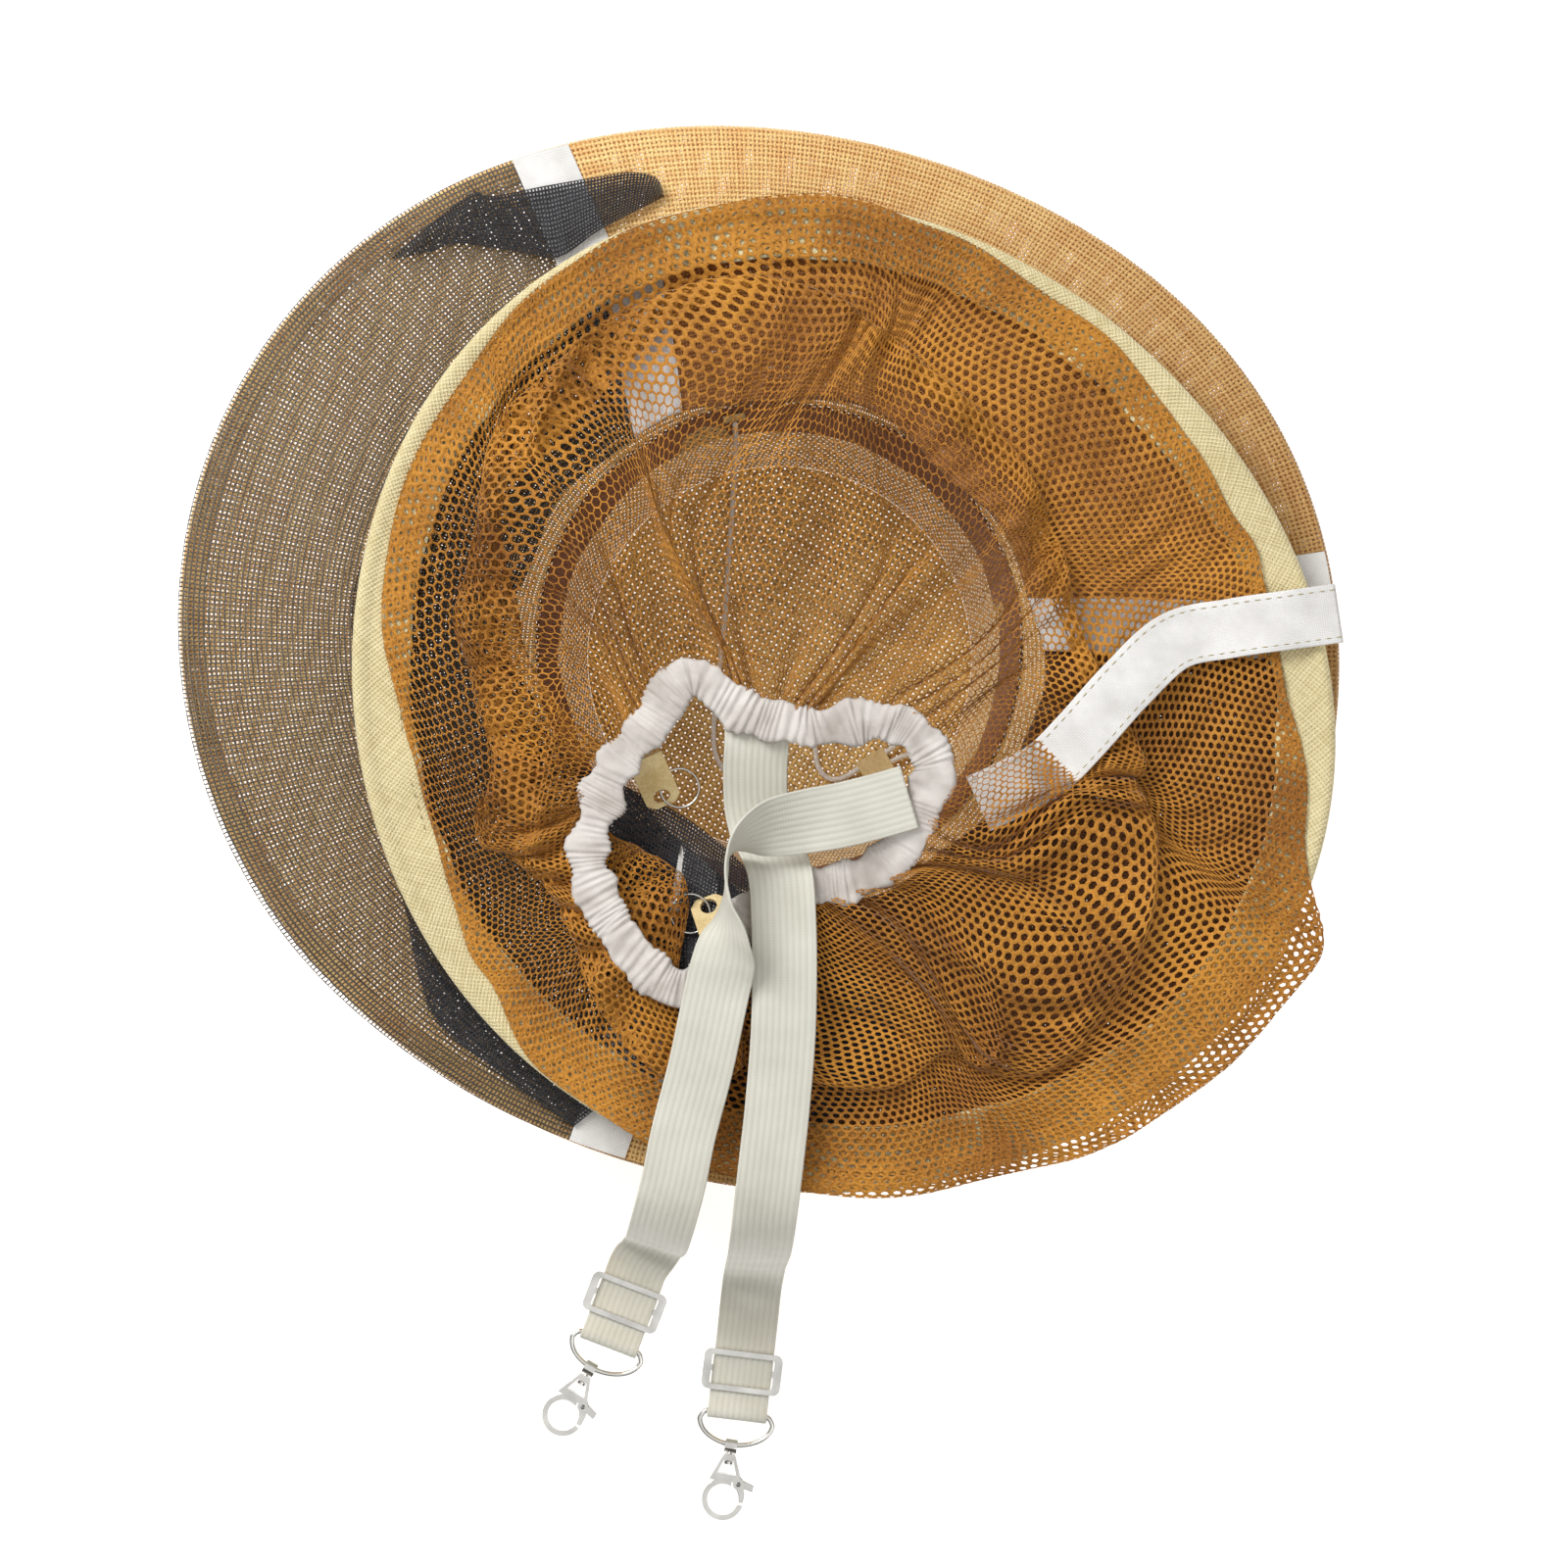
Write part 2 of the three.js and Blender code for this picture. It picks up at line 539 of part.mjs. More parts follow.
// ---- clasp: swivel eye, hook body, gate, pin and spring --------------------------------------
const HOOK_CENTRE_Y = -23;
const HOOK_OUTER = 8.7;
const HOOK_INNER = 6.5;
const GATE_PIVOT = [5.6, -15.8];
const CLASP_THICKNESS = 4.4;

function eyeGeometry() {
  const shape = new THREE.Shape()
    .moveTo(-1.4, -3.2)
    .lineTo(-2.7, -1.4)
    .absarc(0, 0, 2.7, Math.PI, 0, true)
    .lineTo(2.7, -1.4)
    .lineTo(1.4, -3.2);
  shape.holes.push(new THREE.Path().absarc(0, 0, 1.7, 0, 2 * Math.PI));
  const eye = plate(shape, 5, 10).rotateY(Math.PI / 2);
  const stem = new THREE.CylinderGeometry(0.9, 0.9, 4.4, 10).translate(0, -5.0, 0);
  const head = new THREE.CylinderGeometry(1.7, 1.7, 1.2, 12).translate(0, -7.6, 0);
  return geometryOf(solid(eye).add(solid(stem)).add(solid(head)));
}

function hookGeometry() {
  const frame = outlineOf([[-2.3, -3.9], [-6.9, -15.2], [6.9, -15.2], [2.3, -3.9]]);
  const window = outlineOf([[-2.1, -6.5], [-4.1, -12.4], [4.1, -12.4], [2.1, -6.5]]);
  const from = radians(62);
  const to = radians(350);
  const band = new THREE.Shape()
    .absarc(0, HOOK_CENTRE_Y, HOOK_OUTER, from, to)
    .absarc(0, HOOK_CENTRE_Y, HOOK_INNER, to, from, true);
  const inside = plate(new THREE.Shape().absarc(0, HOOK_CENTRE_Y, HOOK_INNER, 0, 2 * Math.PI), 8, 16);
  const lobe = new THREE.CylinderGeometry(2.3, 2.3, CLASP_THICKNESS, 14).rotateX(Math.PI / 2);
  const slot = new THREE.CylinderGeometry(3.2, 3.2, 3, 16).rotateX(Math.PI / 2);
  const pinBore = new THREE.CylinderGeometry(1, 1, 8, 10).rotateX(Math.PI / 2);
  const stemBore = new THREE.CylinderGeometry(1.2, 1.2, 4, 10).translate(0, -5.2, 0);
  for (const piece of [lobe, slot, pinBore]) piece.translate(GATE_PIVOT[0], GATE_PIVOT[1], 0);
  return geometryOf(solid(plate(frame, CLASP_THICKNESS))
    .subtract(solid(inside))
    .add(solid(plate(band, 2.8, 18)))
    .add(solid(lobe))
    .subtract(solid(plate(window, 8)))
    .subtract(solid(stemBore))
    .subtract(solid(slot))
    .subtract(solid(pinBore)));
}

// The gate reaches from its pivot down to the hook's tip, with a thumb lever outside.
function gateGeometry() {
  const [px, py] = GATE_PIVOT;
  const shape = outlineOf([[px - 1.6, py - 1], [px - 1.6, py + 0.8], [px, py + 1.7], [px + 1.8, py + 1.6],
    [px + 6.4, py + 0.2], [px + 6.2, py - 2.6], [px + 2.6, py - 1.8], [px + 3.1, py - 4.6],
    [px + 3.1, py - 7.6], [px + 1.2, py - 7.9], [px + 0.6, py - 4.6]]);
  shape.holes.push(new THREE.Path().absarc(px, py, 1, 0, 2 * Math.PI));
  return plate(shape, 1.4, 5).translate(0, 0, -0.65);
}

function springGeometry() {
  const section = [new THREE.Vector2(1, 0), new THREE.Vector2(1.6, 0), new THREE.Vector2(1.6, 0.9),
    new THREE.Vector2(1, 0.9), new THREE.Vector2(1, 0)];
  const coil = new THREE.LatheGeometry(section, 12).rotateX(Math.PI / 2);
  return coil.translate(GATE_PIVOT[0], GATE_PIVOT[1], 0.4);
}

function buildHardware({ name, bar, heading, claspHeading }) {
  const place = new THREE.Group();
  place.position.set(bar[0], bar[1], 0);
  place.rotation.z = radians(heading);
  model.add(place);
  add(`triglide_${name}`, triglideGeometry().translate(0, TRIGLIDE_PLACE, 0), nickel(), place);
  add(`d_ring_${name}`, dRingGeometry().translate(0, 0, D_RING_Z), nickel(), place);

  // The clasp's eye sits where the arc's normal points along the clasp.
  const lean = radians(claspHeading - heading);
  const along = Math.atan((D_RING_HALF_WIDTH / D_RING_ARC_DEPTH) * Math.tan(lean));
  const clasp = new THREE.Group();
  clasp.position.set(D_RING_HALF_WIDTH * Math.sin(along),
    -D_RING_SHOULDER - D_RING_ARC_DEPTH * Math.cos(along), D_RING_Z);
  clasp.rotation.z = lean;
  place.add(clasp);
  add(`swivel_eye_${name}`, eyeGeometry(), nickel(), clasp);
  add(`hook_body_${name}`, hookGeometry(), nickel(), clasp);
  add(`hook_gate_${name}`, gateGeometry(), nickel(), clasp);
  const pin = new THREE.CylinderGeometry(0.7, 0.7, CLASP_THICKNESS + 0.4, 8).rotateX(Math.PI / 2);
  add(`gate_pin_${name}`, pin.translate(GATE_PIVOT[0], GATE_PIVOT[1], 0), steel(), clasp);
  add(`gate_spring_${name}`, springGeometry(), steel(), clasp);
}

// ---- chin cord, its anchors and slider -------------------------------------------------------
// The cord runs down the crown's wall, along its floor, twice through the slider and back up
// the opposite wall, crossing over itself once.
const CORD_ROUTE = [[-17.6, 88.8, 84], [-17.8, 83.4, 54], [-18.4, 78.6, 30], [-19, 74.2, 13], [-19.6, 67, 5],
  [-20.4, 55, FLOOR], [-21.8, 36, FLOOR], [-23.3, 14, FLOOR], [-25.8, -10, FLOOR], [-27.6, -30, FLOOR],
  [-26.3, -42.5, FLOOR], [-19, -51.5, FLOOR], [-7, -56.4, FLOOR], [8, -59.4, FLOOR], [20, -58.8, FLOOR],
  [29.2, -54.7, FLOOR], [37.8, -49.5, FLOOR], [48, -43.4, FLOOR], [53, -41.4, FLOOR], [58.2, -40.2, FLOOR],
  [61.7, -37, FLOOR], [61.4, -32.6, FLOOR], [57.7, -30.3, FLOOR], [52.7, -31.7, FLOOR], [49.2, -36, FLOOR],
  [45.7, -39.4, FLOOR], [35.4, -45.6, FLOOR], [26.8, -50.7, FLOOR], [20.5, -51, FLOOR], [16, -45.5, FLOOR],
  [14.6, -37, FLOOR], [9, -29, FLOOR], [0, -26, FLOOR], [-8.5, -30.5, FLOOR], [-11.5, -42, 4.8],
  [-10.5, -56, 7.2], [-7.5, -68, 6.2], [-3.5, -76, 16], [-0.8, -82.4, 46], [0, -90.4, 84]];
const CORD_STEPS = 80;
const SLIDER = { place: [40, -45.5], heading: 31, length: 13, width: 9.8, thickness: 4, strands: 2.3 };

function buildCord() {
  const route = new THREE.CatmullRomCurve3(CORD_ROUTE.map((p) => new THREE.Vector3(...p)));
  const section = new THREE.Shape(circleSection(CORD_RADIUS, 8).map(([x, y]) => new THREE.Vector2(x, y)));
  const cord = new THREE.ExtrudeGeometry(section, { steps: CORD_STEPS, extrudePath: route });
  add('chin_cord', cord, whiteCloth());

  const [wide, high] = [SLIDER.width / 2, SLIDER.thickness / 2];
  const shape = outlineOf([[-wide, -high], [wide, -high], [wide, high], [-wide, high]]);
  for (const side of [-1, 1]) {
    const bore = new THREE.Path().absarc(side * SLIDER.strands, 0, CORD_RADIUS + GAP, 0, 2 * Math.PI);
    shape.holes.push(bore);
  }
  const slider = add('cord_slider', plate(shape, SLIDER.length, 5).rotateX(Math.PI / 2), leather());
  slider.position.set(SLIDER.place[0], SLIDER.place[1], FLOOR);
  slider.rotation.z = radians(SLIDER.heading - 90);

  const wallLean = Math.atan(CROWN_FLARE);
  [['side_a', 101.2], ['side_b', -90]].forEach(([name, angle]) => {
    const patch = new THREE.BoxGeometry(1.2, 9, 7).rotateY(wallLean);
    patch.translate(crownInside(84) - 2 * GAP - SWEATBAND_THICKNESS - 0.7, 0, 84);
    add(`cord_anchor_${name}`, patch.rotateZ(radians(angle)), leather());
  });
}

// ---- assembly ------------------------------------------------------------------------------
buildCrown();
buildBrim();
buildCurtain();
buildHoop();
buildCollar();
buildNet();
TABS.forEach(buildTab);
STRAPS.forEach(buildStrap);
STRAPS.forEach(buildHardware);
buildCord();

export default model;
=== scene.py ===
import math

import bmesh
import bpy
import numpy as np
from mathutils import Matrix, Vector


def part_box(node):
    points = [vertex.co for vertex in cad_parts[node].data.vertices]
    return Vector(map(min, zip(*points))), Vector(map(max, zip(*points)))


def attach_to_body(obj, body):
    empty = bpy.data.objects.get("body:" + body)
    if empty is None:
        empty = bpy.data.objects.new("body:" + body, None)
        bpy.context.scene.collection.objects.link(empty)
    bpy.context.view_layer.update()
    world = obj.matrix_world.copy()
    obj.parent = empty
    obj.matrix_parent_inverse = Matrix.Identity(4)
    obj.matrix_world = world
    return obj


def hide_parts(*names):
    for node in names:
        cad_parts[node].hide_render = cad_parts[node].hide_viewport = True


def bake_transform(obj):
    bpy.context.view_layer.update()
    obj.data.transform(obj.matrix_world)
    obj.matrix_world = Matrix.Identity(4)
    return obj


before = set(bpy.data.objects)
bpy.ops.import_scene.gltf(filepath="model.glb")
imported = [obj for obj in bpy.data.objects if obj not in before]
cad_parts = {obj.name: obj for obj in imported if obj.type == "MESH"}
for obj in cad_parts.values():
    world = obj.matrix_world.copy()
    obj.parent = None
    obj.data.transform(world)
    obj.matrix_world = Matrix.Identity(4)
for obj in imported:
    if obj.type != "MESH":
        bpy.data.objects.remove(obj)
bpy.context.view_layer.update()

# Beekeeping hat and veil, collapsed and lying crown-down: cloth crown and brim, a curtain
# folded in over the brim, a hooped canvas band, a hexagonal neck net, a gathered collar and
# two elastic straps with clasps. Metres, +Z up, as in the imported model.
MM = 0.001
TURN = 2 * math.pi

# ---- driving dimensions, repeated from the CAD source ----
ORIGIN = (0.0, 0.0)
CROWN_DEPTH = 0.092
CROWN_TIP_RADIUS = 0.080
CROWN_MOUTH_RADIUS = 0.097
SWEATBAND_DEPTH = 0.036
BRIM_CENTRE = (-0.0012, -0.0060)
BRIM_RADIUS = 0.2224
BRIM_OVAL = 0.01575             # how far its edge is pressed out of round
BRIM_LONG_SIDE = math.radians(161)
BRIM_EDGE_Z = 0.10375
FOLD_CENTRE = (-0.004, -0.008)
FOLD_RADIUS = 0.106
SEAM_ANGLES = (8, 115, 250)
CURTAIN_LENGTH = 0.185          # from the brim to the hoop, laid flat
HOOP_CENTRE = (0.0224, -0.0218)
HOOP_WIRE_RING = 0.1877         # the wire's mean radius
HOOP_OVAL = 0.0075              # how far it is squeezed into an oval
HOOP_LONG_AXIS = math.radians(-46)
HOOP_BEND = 0.0028              # how far it is bent towards three sides
HOOP_BEND_AXIS = math.radians(-11)
HOOP_Z = 0.127
NECK_CENTRE = (-0.015, -0.075)
COLLAR_Z = 0.139
COLLAR_HALF = 0.008             # half its width
SKIN = 0.0008                   # how far the crown's cloth stands off its solid
SWEATBAND_TOP = CROWN_DEPTH - 0.0015
# The collar's middle line as it lies, x and y in millimetres.
COLLAR_POINTS = [(-34, -17), (-50, -34), (-65, -55), (-75, -80), (-69, -103), (-54, -122), (-36, -133),
                 (-23, -124), (-9, -108), (10, -96), (30, -93), (45, -83), (54, -66), (59, -50), (50, -36),
                 (33, -30), (10, -35), (-12, -28)]
NET_LENGTH = 0.195              # from the hoop's band to the collar, laid flat
STRAP_WIDTH = 0.025
STRAP_THICKNESS = 0.0012
TAPE_WIDTH = 0.023
TAPE_LIFT = 0.0009              # how far a curtain tape lies above its cloth
# Mean radii, which set the scale of the weave round each piece.
BRIM_MEAN_RADIUS = 0.16
CURTAIN_MEAN_RADIUS = 0.20
COLLAR_MEAN_RADIUS = 0.09
D_RING_WIRE = 0.0012            # radius
SPLIT_RING_WIRE = 0.00045       # radius
CORD_RADIUS = 0.0011
NET_PITCH = 0.0034
NET_OPEN = (0.62, 0.85)         # each hole as a share of its cell, drawn up and hanging slack

# The chin cord's route in millimetres: down the crown's side, along its tip and up again.
CORD_DOWN = [
    (-17.6, 88.8, 84), (-17.8, 83.4, 54), (-18.4, 78.6, 30), (-19, 74.2, 13), (-19.6, 67, 5)]
CORD_LAID_Z = 3.9
CORD_LAID = [
    (-20.4, 55), (-21.8, 36), (-23.3, 14), (-25.8, -10), (-27.6, -30), (-26.3, -42.5), (-19, -51.5),
    (-7, -56.4), (8, -59.4), (20, -58.8), (29.2, -54.7), (37.8, -49.5), (48, -43.4), (53, -41.4),
    (58.2, -40.2), (61.7, -37), (61.4, -32.6), (57.7, -30.3), (52.7, -31.7), (49.2, -36), (45.7, -39.4),
    (35.4, -45.6), (26.8, -50.7), (20.5, -51), (16, -45.5), (14.6, -37), (9, -29), (0, -26), (-8.5, -30.5)]
CORD_UP = [
    (-11.5, -42, 4.8), (-10.5, -56, 7.2), (-7.5, -68, 6.2), (-3.5, -76, 16), (-0.8, -82.4, 46),
    (0, -90.4, 84)]
CORD_ROUTE = [tuple(value * MM for value in point) for point in
              [*CORD_DOWN, *((x, y, CORD_LAID_Z) for x, y in CORD_LAID), *CORD_UP]]

# Each strap's route: x, y, z in millimetres, then the direction across it.
STRAPS = {
    "right": dict(bar=(-17.8, -317.5), heading=-6.9, route=[
        (-8.4, -27, 135.9, 1, 0, 0), (-8.6, -40, 135.4, 1, 0, 0), (-9.2, -52, 131.5, 1, 0, 0),
        (-8.6, -66, 128.5, 1, 0, 0), (-5.5, -77, 131, 1, 0, 0), (-1.5, -85, 140, 1, 0, 0),
        (0.6, -92, 145.4, 1, 0, 0), (1.6, -104, 147, 1, 0, 0), (2.1, -124, 146.6, 1, 0, 0),
        (1.6, -152, 144.2, 1, 0, 0), (-0.6, -180, 142, 1, 0, 0), (-2.8, -200, 140.4, 1, 0, 0),
        (-4.8, -217, 137.2, 1, 0, 0), (-6.4, -230.5, 127, 1, 0, 0), (-7.7, -240, 106, 1, 0, 0),
        (-8.8, -246, 78, 1, 0, 0), (-9.9, -252, 48, 1, 0, 0), (-10.8, -258.5, 20, 1, -0.1, 0),
        (-11.8, -266, 6.5, 1, -0.12, 0)]),
    "left": dict(bar=(-71.3, -287.4), heading=-21, route=[
        (50, -61.5, 143.6, 0.29, -0.96, 0), (38, -65, 146, 0.29, -0.96, 0), (24, -68.5, 149, 0.2, -0.98, 0),
        (10, -71, 152, 0.1, -0.98, -0.2), (-3, -73.5, 155.5, 0, -0.9, -0.45),
        (-13, -77, 157.5, 0, -0.55, -0.85), (-19, -83, 158, 0, -0.1, -1), (-20, -92, 157.5, 0, 0, -1),
        (-19.6, -102, 157, -0.15, 0, -1), (-19.2, -113, 155.5, -0.6, 0, -0.8),
        (-21, -124, 151.5, -0.95, 0, -0.3), (-24, -137, 147.8, -1, 0.1, 0), (-30, -165, 144.8, -1, 0.2, 0),
        (-36.5, -190, 142, -1, 0.25, 0), (-40.2, -208, 139.5, -1, 0.25, 0),
        (-43.4, -220.5, 135, -1, 0.25, 0), (-46.3, -230.5, 124, -1, 0.3, 0),
        (-48.3, -236.5, 104, -1, 0.3, 0), (-49.6, -240, 78, -1, 0.3, 0),
        (-51, -243, 48, -1, 0.33, 0), (-52.8, -246.2, 21, -1, 0.36, 0), (-54.9, -250, 7.5, -1, 0.38, 0)]),
}
# The strap's end seen from the side: towards the collar and up, from the D-ring's bar.
STRAP_END = [(34, 2.7), (24, 2.7), (10, 2.7), (5.2, 3.9), (2, 4.85), (0, 4.9), (-1.48, 4.28),
             (-2.1, 2.8), (-1.48, 1.32), (0, 0.7), (4, 0.7), (8.2, 0.7)]


# ---- number helpers ----
def evenly(line, samples):
    """Points at equal steps along a line of points."""
    steps = np.linalg.norm(np.diff(line[:, :3], axis=0), axis=1)
    along = np.concatenate([[0], np.cumsum(steps)])
    wanted = np.linspace(0, along[-1], samples)
    return np.stack([np.interp(wanted, along, line[:, k]) for k in range(line.shape[1])], axis=1)


def smooth_line(points, samples, closed=False):
    """A smooth curve through the points. A closed one ends on its first point again."""
    p = np.array(points, float)
    count = len(p)
    spans = count if closed else count - 1
    t = np.linspace(0, spans, spans * 24 + 1)
    i = np.minimum(t.astype(int), spans - 1)
    f = (t - i)[:, None]

    def pick(offset):
        return p[(i + offset) % count] if closed else p[np.clip(i + offset, 0, count - 1)]

    a, b, c, d = pick(-1), pick(0), pick(1), pick(2)
    line = 0.5 * (2 * b + (c - a) * f + (2 * a - 5 * b + 4 * c - d) * f ** 2
                  + (3 * b - a - 3 * c + d) * f ** 3)
    return evenly(line, samples)


def step(low, high, value):
    """0 below low, 1 above high, smooth between."""
    t = np.clip((value - low) / (high - low), 0, 1)
    return t * t * (3 - 2 * t)


def by_angle(table, angle, blur=7):
    """A smooth value round a ring, from pairs of degrees and value."""
    degrees = np.arange(720) / 2
    knots, values = np.array(sorted(table), float).T
    line = np.interp(degrees, knots, values, period=360)
    offset = np.minimum(degrees, 360 - degrees)
    kernel = np.exp(-0.5 * (offset / blur) ** 2)
    line = np.fft.irfft(np.fft.rfft(line) * np.fft.rfft(kernel / kernel.sum()), 720)
    return np.interp(np.degrees(angle) % 360, degrees, line, period=360)


class Waves:
    """Repeatable soft noise: sine waves that close round a ring (angle) and run down it."""

    def __init__(self, seed, around, down, count=9):
        rng = np.random.default_rng(seed)
        self.around = rng.integers(around[0], around[1] + 1, count)
        self.down = rng.uniform(down[0], down[1], count) * rng.choice([-1, 1], count)
        self.phase = rng.uniform(0, TURN, count)

    def __call__(self, angle, down=0.0):
        total = 0.0
        for m, k, phase in zip(self.around, self.down, self.phase):
            total = total + np.sin(m * angle + k * down + phase)
        return total / math.sqrt(len(self.phase) / 2)


def ring_point(centre, radius, angle, z):
    x = centre[0] + radius * np.cos(angle)
    y = centre[1] + radius * np.sin(angle)
    return np.stack(np.broadcast_arrays(x, y, z), axis=-1)


# ---- the brim and the hoop, both pressed oval ----
def brim_point(inset, angle, z):
    """A point inset from the brim's edge, which swells towards its long side."""
    turn = angle - BRIM_LONG_SIDE
    swell = np.where(np.cos(turn) > 0, np.cos(2 * turn), -np.sin(turn) ** 4)
    return ring_point(BRIM_CENTRE, BRIM_RADIUS + BRIM_OVAL * swell - inset, angle, z)


def hoop_oval(angle):
    """How much further out than its mean radius the hoop's springy wire runs at each angle."""
    return (HOOP_OVAL * np.cos(2 * (angle - HOOP_LONG_AXIS))
            + HOOP_BEND * np.cos(3 * (angle - HOOP_BEND_AXIS)))


def hoop_point(radius, angle, z):
    """A point that would be at this radius if the hoop were round."""
    return ring_point(HOOP_CENTRE, radius + hoop_oval(angle), angle, z)


def hoop_radius(points):
    """The other way round: how far out each point lies, as if the hoop were round."""
    x, y = points[..., 0] - HOOP_CENTRE[0], points[..., 1] - HOOP_CENTRE[1]
    return np.hypot(x, y) - hoop_oval(np.arctan2(y, x))


# ---- mesh helpers ----
def mesh_piece(name, points, faces, material, uvs=None):
    """A mesh object with smooth faces. uvs has one row for each corner of each face."""
    mesh = bpy.data.meshes.new(name)
    points = np.asarray(points, np.float32).reshape(-1, 3)
    faces = np.asarray(faces, np.int32)
    corners = faces.shape[1]
    mesh.vertices.add(len(points))
    mesh.vertices.foreach_set("co", points.ravel())
    mesh.loops.add(faces.size)
    mesh.loops.foreach_set("vertex_index", faces.ravel())
    mesh.polygons.add(len(faces))
    mesh.polygons.foreach_set("loop_start", np.arange(0, faces.size, corners, dtype=np.int32))
    mesh.polygons.foreach_set("use_smooth", np.ones(len(faces), bool))
    mesh.update(calc_edges=True)
    if uvs is not None:
        layer = mesh.uv_layers.new(name="UVMap")
        layer.data.foreach_set("uv", np.asarray(uvs, np.float32).ravel())
    mesh.validate()
    mesh.materials.append(material)
    return linked(name, mesh)


def grid_piece(name, points, material, uv=None, closed=(False, False)):
    """A sheet from rows and columns of points. A closed direction repeats its first line last.
    uv is (u, v) arrays in metres on the same grid."""
    points = np.asarray(points, float)
    rows, cols = points.shape[:2]
    real_rows = rows - 1 if closed[0] else rows
    real_cols = cols - 1 if closed[1] else cols
    i, j = np.meshgrid(np.arange(rows - 1), np.arange(cols - 1), indexing="ij")
    corners = [(i, j), (i, j + 1), (i + 1, j + 1), (i + 1, j)]
    faces = np.stack([(a % real_rows) * real_cols + b % real_cols for a, b in corners], axis=-1)
    uvs = None
    if uv is not None:
        both = np.stack(np.broadcast_arrays(*uv), axis=-1)
        both = np.broadcast_to(both, (rows, cols, 2))
        uvs = np.stack([both[a, b] for a, b in corners], axis=2)
    return mesh_piece(name, points[:real_rows, :real_cols], faces.reshape(-1, 4), material, uvs)


def strip(name, stations, section, material):
    """A band with the closed section [(across, up)] along stations of place and across direction."""
    place, across = stations[:, :3], stations[:, 3:6]
    along = np.gradient(place, axis=0)
    along /= np.linalg.norm(along, axis=1)[:, None]
    across = across - (across * along).sum(1)[:, None] * along
    across /= np.linalg.norm(across, axis=1)[:, None]
    up = np.cross(along, across)
    section = np.array(list(section) + [section[0]], float)
    points = (place[:, None] + section[None, :, :1] * across[:, None] + section[None, :, 1:] * up[:, None])
    run = np.concatenate([[0], np.cumsum(np.linalg.norm(np.diff(place, axis=0), axis=1))])
    piece = grid_piece(name, points, material, (section[None, :, 0], run[:, None]), (False, True))
    around, total = len(section) - 1, len(piece.data.vertices)
    close_rings(piece, [range(around), range(total - around, total)])
    return piece


def close_rings(piece, rings, as_sheet=False):
    """Fills each ring of vertices with one face, which on a sheet is shaded and mapped like it."""
    bm = bmesh.new()
    bm.from_mesh(piece.data)
    bm.verts.ensure_lookup_table()
    layer = bm.loops.layers.uv.active
    for ring in rings:
        face = bm.faces.new([bm.verts[i] for i in ring])
        face.smooth = as_sheet
        for loop in face.loops if as_sheet else ():
            loop[layer].uv = loop.vert.co.xy
    bmesh.ops.recalc_face_normals(bm, faces=bm.faces)
    bm.to_mesh(piece.data)
    bm.free()


def wire(name, points, radius, material, cyclic=False):
    """A round bar along points, as a bevelled curve."""
    curve = bpy.data.curves.new(name, "CURVE")
    curve.dimensions = "3D"
    curve.bevel_depth = radius
    curve.bevel_resolution = 4
    curve.use_fill_caps = True
    spline = curve.splines.new("POLY")
    spline.points.add(len(points) - 1)
    for point, place in zip(spline.points, points):
        point.co = (*place, 1)
    spline.use_cyclic_u = cyclic
    spline.use_smooth = True
    curve.materials.append(material)
    return linked(name, curve)


def linked(name, data):
    """A new object in the scene."""
    made = bpy.data.objects.new(name, data)
    bpy.context.scene.collection.objects.link(made)
    return made


def attach(piece, body, slot, *nodes):
    """Says which body a piece moves with, and hides the CAD nodes that it stands for. slot, its finish, is
    not used.
    """
    if body:
        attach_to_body(piece, body)
    if nodes:
        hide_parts(*nodes)


# ---- materials ----
def srgb(red, green, blue):
    """A linear colour from 0-255 values."""
    def linear(value):
        value /= 255
        return value / 12.92 if value <= 0.04045 else ((value + 0.055) / 1.055) ** 2.4
    return (linear(red), linear(green), linear(blue), 1)


